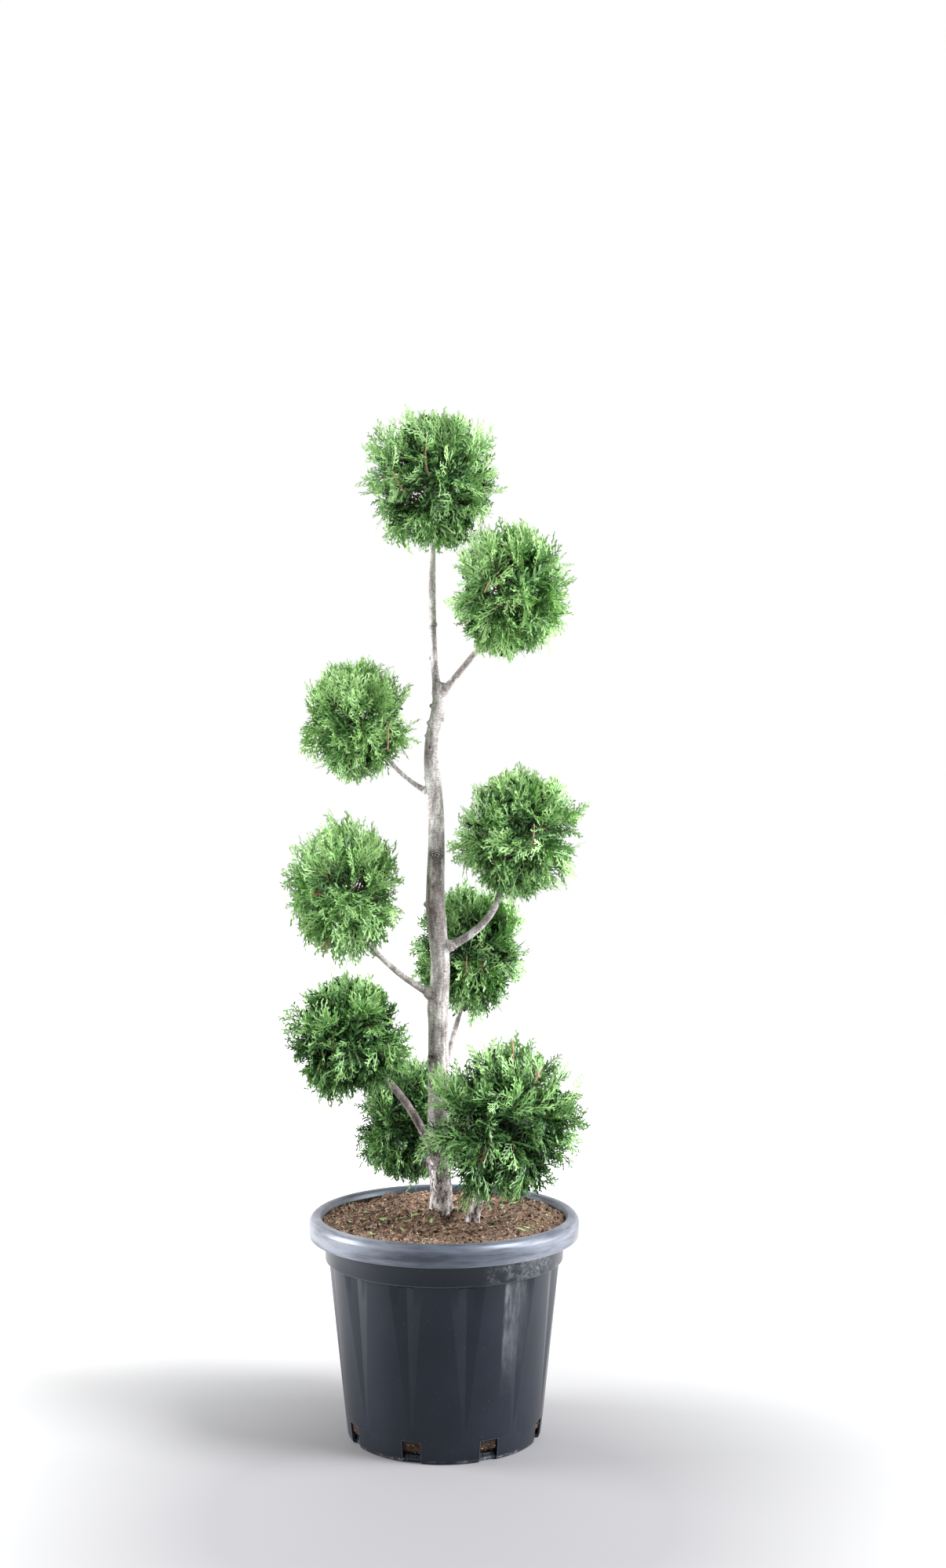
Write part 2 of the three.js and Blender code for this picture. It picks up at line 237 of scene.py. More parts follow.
# %% The studio light
WHITE_BEHIND, DIM_IN_FRONT = 1.0, 0.45
DIM_REACH = (-0.9, 0.15)  # how far round from the front the dimming goes
SUN_FROM = (1.5, -0.6, 1.8)
SUN_STRENGTH = 4.2
SUN_SPREAD_DEGREES = 22
LAMP_TARGET = (0, 0, 0.75)
LAMPS = {  # place, size and watts
    "right_lamp": ((2.3, -0.3, 1.0), 1.4, 95), "left_lamp": ((-2.4, 0.1, 1.2), 1.3, 115)}

world = bpy.data.worlds.new("white_studio")
bpy.context.scene.world = world
world.use_nodes = True
background = world.node_tree.nodes["Background"]
background.inputs["Color"].default_value = (1, 1, 1, 1)
looking = node(world, "ShaderNodeTexCoord").outputs["Generated"]
brightness = graded(world, axes_of(world, looking)["Y"], *DIM_REACH, DIM_IN_FRONT, WHITE_BEHIND)
link(world, brightness, background.inputs["Strength"])
bpy.context.scene.view_settings.view_transform = "Standard"


def soft_lamp(name, place, target, size, power):
    """A square lamp that faces the target."""
    lamp = bpy.data.objects.new(name, bpy.data.lights.new(name, "AREA"))
    bpy.context.scene.collection.objects.link(lamp)
    lamp.data.size = size
    lamp.data.energy = power
    lamp.location = place
    lamp.rotation_euler = (Vector(target) - Vector(place)).to_track_quat("-Z", "Y").to_euler()


sun = bpy.data.objects.new("sun", bpy.data.lights.new("sun", "SUN"))
bpy.context.scene.collection.objects.link(sun)
sun.data.energy = SUN_STRENGTH
sun.data.angle = math.radians(SUN_SPREAD_DEGREES)
sun.rotation_euler = Vector(SUN_FROM).to_track_quat("Z", "Y").to_euler()
for name, (place, size, watts) in LAMPS.items():
    soft_lamp(name, place, LAMP_TARGET, size, watts)

# %% [markdown]
# ## A heap of small shapes
# Crumbs, twigs and sprays come in thousands. Making each as an object would be slow, and the export
# drops particles and instances, so each kind is gathered as plain arrays of points and triangles and
# becomes one joined mesh at the end.

# %% The heap, and how it becomes a piece
class Heap:
    """Points, triangles and a finish number per triangle, gathered for one joined mesh."""

    def __init__(self):
        self.points, self.faces, self.tones, self.count = [], [], [], 0

    def add(self, points, faces, tones=0):
        """Adds one shape, or a stack of equal shapes that share their triangles."""
        points = np.asarray(points, float)
        faces = np.asarray(faces, int)
        shapes = points.reshape(-1, points.shape[-2], 3)
        starts = self.count + np.arange(len(shapes)) * shapes.shape[1]
        self.points.append(shapes.reshape(-1, 3))
        self.faces.append((starts[:, None, None] + faces).reshape(-1, 3))
        self.tones.append(np.broadcast_to(tones, (len(shapes), len(faces))).ravel())
        self.count += shapes.shape[0] * shapes.shape[1]

    def piece(self, name, materials, smooth=False):
        """The joined mesh as an object, with its points given in millimetres."""
        points, faces = np.concatenate(self.points) * MM, np.concatenate(self.faces)
        mesh = bpy.data.meshes.new(name)
        mesh.vertices.add(len(points))
        mesh.vertices.foreach_set("co", points.astype(np.float32).ravel())
        mesh.loops.add(faces.size)
        mesh.loops.foreach_set("vertex_index", faces.astype(np.int32).ravel())
        mesh.polygons.add(len(faces))
        mesh.polygons.foreach_set("loop_start", np.arange(0, faces.size, 3, dtype=np.int32))
        mesh.polygons.foreach_set("material_index", np.concatenate(self.tones).astype(np.int32))
        mesh.polygons.foreach_set("use_smooth", np.full(len(faces), smooth))
        for material in materials:
            mesh.materials.append(material)
        mesh.update(calc_edges=True)
        made = bpy.data.objects.new(name, mesh)
        bpy.context.scene.collection.objects.link(made)
        print(name, "has", len(faces), "triangles")
        return made


def unit(vectors):
    """Vectors of length one along the given ones."""
    vectors = np.asarray(vectors, float)
    return vectors / np.linalg.norm(vectors, axis=-1, keepdims=True)


# %% [markdown]
# ## The pot
# The real pot is injection moulded in one piece: a tapered bucket with twelve shallow flutes that
# fade out downwards, a collar above a ledge, and a lip that rolls outwards and hangs down as a skirt.
# It could be turned with a Screw modifier, but the flutes and drain slots break the round, so its
# rings are worked out level by level instead. Each corner of the outline is rounded, as a mould's
# is, because those small rounds catch the light.

# %% The pot's sizes in millimetres, as in the part's source
WALL = 3
POT_FLOOR = 4
BASE_RADIUS = 139.5
SHOULDER = (254, 166.5)
# The outline as height, radius and the size of the round at that corner. None is the tapered wall.
OUTSIDE = [
    (0, 137, 1.2), (3, 139.5, 1.5), (31, None, 0), (35, None, 0), (250, None, 0), (252.5, 166.4, 0),
    (254, 166.7, 0.6), (254, 171.5, 1.0), (292, 173, 2.0), (310, 180, 3.0), (311.5, 189, 2.0),
    (287, 191.5, 0.6), (287, 194.2, 0.8), (290, 194.5, 0), (305, 195, 1.0), (308.5, 194.9, 2.0),
    (315, 191, 3.0), (318, 185, 4.0), (316.5, 178.5, 2.0), (310, 176, 2.0), (295, 170, 2.0),
    (257, 168.5, 1.5), (257, 163.5, 1.5), (250, None, 0), (35, None, 0), (31, None, 0), (4, None, 2.0)]
INNER_WALL_FROM = (257, 163.5, 1.5)  # after this corner the outline runs down inside
ROUND_STEPS = 3
COLUMNS = 360
COLUMN_START = 0.4


def wall_radius(height):
    """The tapered wall's outer radius."""
    return BASE_RADIUS + (SHOULDER[1] - BASE_RADIUS) * height / SHOULDER[0]


def rounded(outline):
    """The outline with each corner cut back by its round, and an arc put in."""
    made = []
    for i, (height, radius, size) in enumerate(outline):
        here = np.array([height, radius], float)
        if size == 0 or i in (0, len(outline) - 1):
            made.append(here)
            continue
        before, after = (np.array(outline[i + step][:2], float) for step in (-1, 1))
        sides = [point - here for point in (before, after)]
        cuts = [min(size, 0.45 * np.linalg.norm(side)) * side / np.linalg.norm(side) for side in sides]
        for t in np.linspace(0, 1, ROUND_STEPS + 1):
            made.append(here + (1 - t) ** 2 * cuts[0] + t ** 2 * cuts[1])
    return np.array(made)


corners = []
for i, (height, radius, size) in enumerate(OUTSIDE):
    if radius is None:
        radius = wall_radius(height) - (WALL if i > OUTSIDE.index(INNER_WALL_FROM) else 0)
    corners.append((height, radius, size))
outline = rounded(corners)
print("outline points of the pot:", len(outline))

# %% [markdown]
# Each ring of the wall has the same 360 columns. Between the drain slots and the collar the columns
# lean, so that some run exactly along the flutes' edges and keep them crisp.

# %% The flutes
FLUTE_COUNT = 12
FLUTE_TURN = 12
FLUTE_DEPTH = 5
FLUTE_FOOT, FLUTE_HEAD = 35, 250
FLUTE_CLOSES = 2.5  # above its head a flute runs out over this height
FOOT_HALF_WIDTH, HEAD_HALF_WIDTH = 0.8, 8.6
# Where the columns on one half of a flute lie, as shares of its half width: close at its edges
COLUMN_SHARES = [0, 0.05, 0.2, 0.4, 0.6, 0.8, 0.95, 1.0, 1.04]


def flute_place(column, height):
    """A column's turn from the front in degrees, and how deep the flute is there."""
    pitch = COLUMNS // FLUTE_COUNT
    even = COLUMN_START + column
    if not FLUTE_FOOT - 0.01 <= height <= FLUTE_HEAD + 3:
        return even, 0
    up = min(1, (height - FLUTE_FOOT) / (FLUTE_HEAD - FLUTE_FOOT))
    half_width = FOOT_HALF_WIDTH + up * (HEAD_HALF_WIDTH - FOOT_HALF_WIDTH)
    number, step = divmod(column - FLUTE_TURN + pitch // 2, pitch)
    middle = FLUTE_TURN + number * pitch
    step -= pitch // 2
    last = len(COLUMN_SHARES) - 1
    if abs(step) <= last:
        share = COLUMN_SHARES[abs(step)]
        out = half_width * share
    else:
        share = 1
        edge = half_width * COLUMN_SHARES[last]
        out = edge + (pitch / 2 - edge) * (abs(step) - last) / (pitch / 2 - last)
    depth = FLUTE_DEPTH * up * max(0, 1 - share)
    if height > FLUTE_HEAD:
        depth *= max(0, 1 - (height - FLUTE_HEAD) / FLUTE_CLOSES)
    return middle + math.copysign(out, step), depth


def polar(turn, radius, height):
    """A point by its turn from the front towards the right, in degrees."""
    angle = math.radians(turn)
    return (radius * math.sin(angle), -radius * math.cos(angle), height)


# %% The pot's skin, with its drain slots left open
SLOT_TOP = 31
SLOT_COUNT = 8
SLOT_FIRST_COLUMN, SLOT_COLUMNS = 21, 11
SLOT_RADIUS = 133.5
MIDDLE_RADIUS = 40.0  # one flat face closes the floor inside this

levels = [np.array(level, float) for level in (
    (0, MIDDLE_RADIUS), (0, SLOT_RADIUS), *outline, (POT_FLOOR, SLOT_RADIUS), (POT_FLOOR, MIDDLE_RADIUS))]
rises = [abs(high[0] - low[0]) for low, high in zip(levels, levels[1:])]
for i in reversed(range(len(rises))):  # long walls get rings between, so that light grades well on them
    if rises[i] > 30:
        extra_rings = np.linspace(levels[i], levels[i + 1], 8 if rises[i] > 100 else 3)[1:-1]
        levels[i + 1:i + 1] = list(extra_rings)


def in_slot(column):
    """Whether a column of faces lies in a drain slot."""
    return (column - SLOT_FIRST_COLUMN) % (COLUMNS // SLOT_COUNT) < SLOT_COLUMNS


outer_slot_top, inner_slot_top = [i for i, level in enumerate(levels) if abs(level[0] - SLOT_TOP) < 0.01]
pot_mesh = bmesh.new()
rings = []
for height, radius in levels:
    ring = []
    for column in range(COLUMNS):
        turn, depth = flute_place(column, height)
        ring.append(pot_mesh.verts.new([value * MM for value in polar(turn, radius - depth, height)]))
    rings.append(ring)


def wall_face(low, high, column):
    """One face between two rings, from a column to the next."""
    beside = (column + 1) % COLUMNS
    pot_mesh.faces.new([rings[low][column], rings[low][beside], rings[high][beside], rings[high][column]])


underside, floor_top = 1, len(levels) - 2
for column in range(COLUMNS):
    for i in range(len(levels) - 1):
        cut = underside <= i < outer_slot_top or inner_slot_top <= i < floor_top
        if not (cut and in_slot(column)):
            wall_face(i, i + 1, column)
    if in_slot(column):
        wall_face(underside, floor_top, column)
        wall_face(inner_slot_top, outer_slot_top, column)
    if in_slot(column) != in_slot(column - 1):
        path = list(range(underside, outer_slot_top + 1)) + list(range(inner_slot_top, floor_top + 1))
        pot_mesh.faces.new([rings[i][column] for i in path])
pot_mesh.faces.new(rings[0])
pot_mesh.faces.new(rings[-1])
bmesh.ops.recalc_face_normals(pot_mesh, faces=pot_mesh.faces)
print("pot rings:", len(levels), "faces:", len(pot_mesh.faces))

# %% [markdown]
# A moulded edge is never knife sharp, so the slots' edges get a narrow bevel, which shows as a thin
# light line. The bevel takes a paler worn finish, partly wear and partly a painted highlight that makes
# the line show. The lowest corners of lip and collar, which rub when pots are stacked, have the same
# worn finish with its painted highlight. A tongue set in behind each slot holds the peat back. It is a
# bar with two upright grooves.

# %% Bevelled slot edges, and the tongues
def is_slot_edge(edge):
    """Whether an edge is a sharp one of a drain slot."""
    middle = (edge.verts[0].co + edge.verts[1].co) / MM / 2
    low_and_out = middle.z < SLOT_TOP + 0.5 and math.hypot(middle.x, middle.y) > SLOT_RADIUS - 1
    return low_and_out and len(edge.link_faces) == 2 and edge.calc_face_angle(0) > math.radians(50)


SLOT_BEVEL = 0.5
# the worn finish is partly wear and partly a painted highlight on the edges
WORN_AND_HIGHLIGHT = 1  # the place of the worn finish among the pot's materials
slot_edges = [edge for edge in pot_mesh.edges if is_slot_edge(edge)]
bevelled = bmesh.ops.bevel(
    pot_mesh, geom=slot_edges, offset=SLOT_BEVEL * MM, segments=2, affect="EDGES", profile=0.6)
for face in bevelled["faces"]:
    face.material_index = WORN_AND_HIGHLIGHT
# these corners take the worn finish with its painted highlight
WORN_HIGHLIGHT_CORNERS = [(287, 194.2, 1.3), (254, 171.5, 1.3)]  # height, radius and reach of the rubbed corners
for face in pot_mesh.faces:
    middle = face.calc_center_median() / MM
    radius = math.hypot(middle.x, middle.y)
    if any(math.hypot(middle.z - height, radius - corner) < size for height, corner, size in WORN_HIGHLIGHT_CORNERS):
        face.material_index = WORN_AND_HIGHLIGHT

TONGUE = {"width": 28, "height": 10, "from": 130.5, "to": 133.2}
TONGUE_OUTLINE = [  # shares of the width, and how deep the grooves cut in
    (-0.5, 0), (-0.26, 0), (-0.25, 0.8), (-0.2, 0.8), (-0.19, 0), (0.19, 0), (0.2, 0.8), (0.25, 0.8),
    (0.26, 0), (0.5, 0)]
slot_turns = [
    COLUMN_START + SLOT_FIRST_COLUMN + SLOT_COLUMNS / 2 + i * 360 / SLOT_COUNT for i in range(SLOT_COUNT)]
for turn in slot_turns:
    front = [(TONGUE["width"] * across, TONGUE["to"] - deep) for across, deep in TONGUE_OUTLINE]
    section = front + [(TONGUE["width"] / 2, TONGUE["from"]), (-TONGUE["width"] / 2, TONGUE["from"])]
    side_x, side_y = math.cos(math.radians(turn)), math.sin(math.radians(turn))
    slices = []
    for height, inset in ((0.3, 0), (TONGUE["height"] - 1, 0), (TONGUE["height"], 0.6)):
        slice_points = []
        for across, radius in section:
            x, y, z = polar(turn, radius - inset * (radius > TONGUE["from"] + 0.5), height)
            point = (x + across * side_x, y + across * side_y, z)
            slice_points.append(pot_mesh.verts.new([value * MM for value in point]))
        slices.append(slice_points)
    made = [pot_mesh.faces.new(slices[0]), pot_mesh.faces.new(slices[-1][::-1])]
    for low, high in zip(slices, slices[1:]):
        for k in range(len(section)):
            beside = (k + 1) % len(section)
            made.append(pot_mesh.faces.new([low[k], high[k], high[beside], low[beside]]))
    bmesh.ops.recalc_face_normals(pot_mesh, faces=made)
print("slot edges bevelled:", len(slot_edges))

# %% [markdown]
# The plastic is nearly black with a blue cast and a satin gloss. The lip has bleached to grey in
# streaks that run round it. Towards both sides, most of all on the left, the streaks are painted paler
# still, as a painted highlight of the side light. Under the lip and inside the rim the plastic is
# painted nearly black, as painted shade. A used pot also has light specks all over, a rubbed foot, and
# pale dusty scuffs where it was handled: here a patch on the right of the collar. A mottled dusty
# stripe runs down from it, which is also a painted highlight of the bright reflection on the right of
# the wall. Noise patterns draw all of these, and masks of height and direction hold them in place.
# Turns are in radians from the front, to the right, and heights in metres.

# %% Masks on the pot
LIP_FOOT = (0.2855, 0.2875)
LIP_EDGE = (0.1745, 0.176)  # from the pot's middle line
COLLAR = (0.254, 0.288)


def lip_and_inside(material, place):
    """Two masks: the lip's outer side and top, and all that lies further in."""
    flat = node(material, "ShaderNodeVectorMath", {0: place, 1: (1, 1, 0)}, operation="MULTIPLY")
    far_out = node(material, "ShaderNodeVectorMath", {0: flat.outputs["Vector"]}, operation="LENGTH")
    far_out = far_out.outputs["Value"]
    lip = product(material, graded(material, axes_of(material, place)["Z"], *LIP_FOOT),
                  graded(material, far_out, *LIP_EDGE))
    return lip, graded(material, far_out, *LIP_EDGE, 1, 0)


def turn_from_front(material, place):
    """The turn round the pot, 0 at the front and positive to the right."""
    axes = axes_of(material, place)
    return maths(material, "ARCTAN2", axes["X"], product(material, axes["Y"], -1.0))


def dust_and_highlight_on_pot(material, place):
    """Where scuffs and the rubbed foot are dusty, and where a dusty stripe is also a painted highlight, from
    0 to 1.
    """
    height, turn = axes_of(material, place)["Z"], turn_from_front(material, place)
    grazed = ramp(material, noise_at(material, place, 210, 5, 0.75), [(0.42, 0), (0.66, 1)])
    in_patches = ramp(material, noise_at(material, place, 34, 3, 0.6), [(0.44, 0), (0.62, 1)])
    rubbed = product(material, grazed, in_patches)
    collar_patch = product(material, between(material, turn, 0.42, 1.25), between(material, height, *COLLAR))
    # the mottled stripe on the right of the wall is dusty and also a painted highlight of the bright
    # reflection there
    mottled = noise_at(material, drawn_out(material, place, 0.25), 95, 6, 0.7)
    mottled = ramp(material, mottled, [(0.40, 0.15), (0.62, 1)])
    stripe = product(material, graded(material, turn, 0.54, 0.56), graded(material, turn, 0.56, 0.84, 1, 0),
                     graded(material, height, 0.09, 0.24), graded(material, height, 0.249, 0.254, 1, 0))
    foot = between(material, height, -0.004, 0.005)
    shares = ((rubbed, collar_patch, 0.42), (mottled, stripe, 0.30), (rubbed, foot, 0.6))
    return total(material, *(product(material, *share) for share in shares))


# %% The pot's plastic
PAINTED_LIP_HIGHLIGHT = (0.26, 0.275, 0.32)
PAINTED_DEEP_SHADE = (0.001, 0.001, 0.002)
# the pale of scuffs and specks, also the painted highlight of the stripe
POT_DUST_AND_HIGHLIGHT = (0.42, 0.43, 0.46)


def pot_plastic_like(name, dark, light, bleached):
    """The pot's plastic between two shades, with its bleached lip, painted highlights, painted shade below
    the lip, scuffs and specks.
    """
    material, shader = new_material(name, light, 0.42)
    place = own_place(material)
    height, turn = axes_of(material, place)["Z"], turn_from_front(material, place)
    cloud = noise_at(material, place, 14, 4)
    colour = ramp(material, cloud, [(0.3, dark), (0.7, light)])

    lip, inside_lip = lip_and_inside(material, place)
    streaks = noise_at(material, drawn_out(material, place, 9.0), 11, 6, 0.6)
    streaky_lip = product(material, lip, ramp(material, streaks, [(0.38, 0.3), (0.62, 1)]))
    colour = mixed(material, streaky_lip, colour, bleached)
    # painted highlight: towards both sides, most of all on the left, the lip's streaks are painted paler
    aside = maths(material, "ABSOLUTE", turn)
    past_front, before_back = graded(material, aside, 0.15, 0.75), graded(material, aside, 1.6, 2.7, 1, 0)
    highlight_sides = product(material, past_front, before_back)
    highlight_more_on_left = graded(material, turn, -0.3, 0.3, 0.75, 0.42)
    colour = mixed(material, product(material, streaky_lip, highlight_sides, highlight_more_on_left), colour, PAINTED_LIP_HIGHLIGHT)
    # painted shade: under the lip and inside the rim the plastic is painted nearly black
    painted_shade_under_lip = product(material, between(material, height, COLLAR[0], 0.330), inside_lip, 0.8)
    colour = mixed(material, painted_shade_under_lip, colour, PAINTED_DEEP_SHADE)

    dust_and_highlight = dust_and_highlight_on_pot(material, place)
    specks = ramp(material, noise_at(material, place, 420, 2), [(0.735, 0), (0.77, 1)])
    dust_specks_and_highlight = total(material, dust_and_highlight, product(material, specks, 0.22))
    colour = mixed(material, dust_specks_and_highlight, colour, POT_DUST_AND_HIGHLIGHT)
    link(material, colour, shader.inputs["Base Color"])
    satin = graded(material, cloud, 0, 1, 0.24, 0.38)
    link(material, total(material, satin, dust_and_highlight), shader.inputs["Roughness"])
    shader.inputs["Specular Tint"].default_value = (0.76, 0.87, 1.0, 1)
    bump(material, shader, noise_at(material, place, 900, 2), 0.12, 0.0004)
    return material


pot_plastic = pot_plastic_like(
    "pot_plastic", (0.003, 0.004, 0.008), (0.006, 0.008, 0.015), (0.085, 0.096, 0.124))
pot_worn_edge_highlight = pot_plastic_like(
    "pot_worn_edge_highlight", (0.050, 0.058, 0.078), (0.150, 0.165, 0.200), (0.250, 0.270, 0.320))
print("pot finishes:", pot_plastic.name, pot_worn_edge_highlight.name)

# %% The pot as a piece
SMOOTH_UP_TO = 32  # degrees between faces

pot_data = bpy.data.meshes.new("pot_shell")
pot_mesh.to_mesh(pot_data)
pot_mesh.free()
pot_data.materials.append(pot_plastic)
pot_data.materials.append(pot_worn_edge_highlight)
pot_data.set_sharp_from_angle(angle=math.radians(SMOOTH_UP_TO))
pot_data.polygons.foreach_set("use_smooth", np.full(len(pot_data.polygons), True))
pot_shell = bpy.data.objects.new("pot_shell", pot_data)
bpy.context.scene.collection.objects.link(pot_shell)
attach(pot_shell, "root")
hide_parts("pot")
print("pot_shell faces:", len(pot_data.polygons))

# %% [markdown]
# ## The peat
# Nursery peat is brown crumbs of many sizes with pale straw fibres. A bump map would look flat from
# a low eye, so the top is a fine grid raised by noise at several scales, a little higher round
# the stems. Two small heaps lie before the trunk, the ground sinks right of the second stem, and
# there is a hollow at the back left. Thousands of angular crumbs and fibres lie on it.

# %% The lie of the peat
SOIL_TOP = 312
SOIL_RADIUS = 174.6
TRUNK_FOOT = (-3, 1)
STEM_FOOT = (45, -36)
SWELLS = [  # place, rise and spread of heaps and hollows
    (TRUNK_FOOT, 4.0, 26), (STEM_FOOT, 3.0, 18), ((-116, 112), -8.0, 22), ((-19, -27), 17.0, 14),
    ((20, -12), 9.0, 12), ((58, -38), -9.0, 9)]


def rough(x, y, size, seed):
    """Noise from -1 to 1 with bumps of about that size."""
    return noise.noise(Vector((x / size, y / size, seed)))


def peat_height(x, y):
    """The peat's height in millimetres at a place."""
    out = math.hypot(x, y) / SOIL_RADIUS
    height = SOIL_TOP - 0.6 - 2.6 * out ** 6
    height += 3.0 * rough(x, y, 38, 3.1) + 3.2 * rough(x, y, 15, 7.7) * (1 - 0.4 * out)
    for (swell_x, swell_y), rise, spread in SWELLS:
        height += rise * math.exp(-((x - swell_x) ** 2 + (y - swell_y) ** 2) / spread ** 2)
    return height


def crumbly(x, y):
    """Finer relief on top of it."""
    lumps = 5.2 * abs(rough(x, y, 11, 1.3)) + 2.6 * abs(rough(x, y, 5, 4.4))
    return lumps + 0.9 * rough(x, y, 2.6, 5.9) - 2.2


def peat_top(x, y):
    """The height of the peat with its finer relief."""
    return peat_height(x, y) + crumbly(x, y)


print("peat's height at the trunk:", round(peat_top(*TRUNK_FOOT), 1))

# %% The peat's body
TOP_RINGS, TOP_SPOKES = 88, 300
PEAT_GAP = 0.3  # between the peat and the wall
PEAT_FLOOR = 4.6
SOIL_SIDE = [  # height and radius. None is the tapered wall.
    (309, 174.2), (290, 169.5), (258, 167.8), (256.6, 163.0), (250, None), (35, None), (24, None), (17, None),
    (13, 129.2), (PEAT_FLOOR, 129.2)]

peat_heap = Heap()
spoke_turns = np.arange(TOP_SPOKES) * 360 / TOP_SPOKES
points = []
for ring in range(1, TOP_RINGS + 1):
    radius = SOIL_RADIUS * (ring / TOP_RINGS) ** 0.8
    for spoke_turn in spoke_turns:
        x, y, _z = polar(spoke_turn, radius, 0)
        points.append((x, y, peat_top(x, y)))
for height, radius in SOIL_SIDE:
    if radius is None:  # inside the wall and its flutes
        flute_depth = FLUTE_DEPTH * max(0, (height - FLUTE_FOOT) / (FLUTE_HEAD - FLUTE_FOOT))
        radius = wall_radius(height) - WALL - PEAT_GAP - flute_depth
    for spoke_turn in spoke_turns:
        dent = 0.8 * abs(rough(spoke_turn * 2, height, 3, 9.1))
        points.append(polar(spoke_turn, radius - dent, height))
rows = TOP_RINGS + len(SOIL_SIDE)
points += [(0, 0, peat_height(0, 0)), (0, 0, PEAT_FLOOR)]
faces = []
spokes = np.arange(TOP_SPOKES)
beside = (spokes + 1) % TOP_SPOKES
for row in range(rows - 1):
    low, high = row * TOP_SPOKES, (row + 1) * TOP_SPOKES
    faces.append(np.stack([low + spokes, high + spokes, high + beside], 1))
    faces.append(np.stack([low + spokes, high + beside, low + beside], 1))
top_middle, bottom_middle = rows * TOP_SPOKES, rows * TOP_SPOKES + 1
faces.append(np.stack([np.full(TOP_SPOKES, top_middle), spokes, beside], 1))
last_row = (rows - 1) * TOP_SPOKES
faces.append(np.stack([np.full(TOP_SPOKES, bottom_middle), last_row + beside, last_row + spokes], 1))
faces = np.concatenate(faces)
on_rim = (TOP_RINGS - 1) * TOP_SPOKES
# painted shade: the peat's sides, seen through the drain slots, take the dark crumbs' finish
painted_shade_side = (faces.max(axis=1) >= on_rim + TOP_SPOKES) & (faces.min(axis=1) >= on_rim)
peat_heap.add(points, faces, painted_shade_side)
print("peat points:", len(points))

# %% [markdown]
# Peat's colour runs from nearly black to a warm reddish brown, and its right half is painted darker,
# as painted shade. The body grades between two browns by noise, and the crumbs are dealt out in four
# browns, which keeps each crumb nearly one colour.

# %% Peat finishes
# painted shade: where and how much the peat is painted darker towards the right
PAINTED_SHADE_FROM_TO = (-0.01, 0.11)  # metres from the middle to the right
PAINTED_SHADE_SHARE = 0.42
PAINTED_SHADE_DARKER = 0.25


def peat_material(name, dark, light):
    """Matt crumbly brown between two shades."""
    material, shader = new_material(name, light, 0.95)
    place = own_place(material)
    shade = ramp(material, noise_at(material, place, 160, 5, 0.7), [(0.37, dark), (0.66, light)])
    # painted shade: the peat is painted darker towards the right
    painted_shade_right = graded(material, axes_of(material, place)["X"], *PAINTED_SHADE_FROM_TO, 0.0, PAINTED_SHADE_SHARE)
    shade = mixed(material, painted_shade_right, shade, tuple(PAINTED_SHADE_DARKER * value for value in light))
    link(material, shade, shader.inputs["Base Color"])
    shader.inputs["Specular IOR Level"].default_value = 0.25
    bump(material, shader, noise_at(material, place, 1400, 4, 0.7), 0.7, 0.0009)
    return material


peat_body = peat_material("peat_body", (0.034, 0.021, 0.014), (0.420, 0.287, 0.206))
peat_crumbs = [
    peat_material("peat_dark", (0.014, 0.009, 0.007), (0.075, 0.045, 0.031)),
    peat_material("peat_brown", (0.105, 0.064, 0.043), (0.435, 0.285, 0.202)),
    peat_material("peat_red", (0.230, 0.125, 0.081), (0.610, 0.400, 0.285)),
    peat_material("peat_pale", (0.400, 0.310, 0.225), (0.740, 0.620, 0.490))]
# the second finish is painted shade on the peat's sides
peat = peat_heap.piece("peat", [peat_body, peat_crumbs[0]])
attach(peat, "root")
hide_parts("soil")

# %% [markdown]
# A crumb is an icosphere of 20 faces, squashed, jittered and turned at random. Six kinds of jitter are
# enough, since every crumb is stretched and turned in its own way. Some lie close round the trunk's
# foot, and more fill the drain slots, where the tongues hold them.

# %% Crumbs at random
CRUMB_KINDS = 6

draw = np.random.default_rng(5)
crumb_mesh = bmesh.new()
bmesh.ops.create_icosphere(crumb_mesh, subdivisions=1, radius=1)
crumb_mesh.verts.index_update()
crumb_points = np.array([vert.co for vert in crumb_mesh.verts])
crumb_faces = np.array([[vert.index for vert in face.verts] for face in crumb_mesh.faces])
crumb_mesh.free()
print("faces of a crumb:", len(crumb_faces))


def turned_at_random(count):
    """Random rotations as matrices."""
    w, x, y, z = unit(draw.normal(size=(count, 4))).T
    return np.stack([
        np.stack([1 - 2 * (y * y + z * z), 2 * (x * y - z * w), 2 * (x * z + y * w)], -1),
        np.stack([2 * (x * y + z * w), 1 - 2 * (x * x + z * z), 2 * (y * z - x * w)], -1),
        np.stack([2 * (x * z - y * w), 2 * (y * z + x * w), 1 - 2 * (x * x + y * y)], -1)], 1)


def crumbs(places, sizes):
    """An angular lump at each place."""
    kinds = crumb_points * draw.uniform(0.6, 1.25, (CRUMB_KINDS, len(crumb_points), 1))
    shapes = kinds[draw.integers(CRUMB_KINDS, size=len(places))]
    shapes = shapes * draw.uniform(0.55, 1.0, (len(places), 1, 3)) * sizes[:, None, None]
    return np.einsum("nij,nvj->nvi", turned_at_random(len(places)), shapes) + places[:, None]


# %% Crumbs on the peat
CRUMB_COUNT = 7600
CRUMBS_REACH = 171.5
CRUMB_SIZES = (0.4, 3.9)
CRUMB_SHARES = [0.45, 0.28, 0.18, 0.09]  # dark, brown, red and pale
FOOT_CRUMBS = 260
FOOT_CRUMBS_LARGER = 1.4

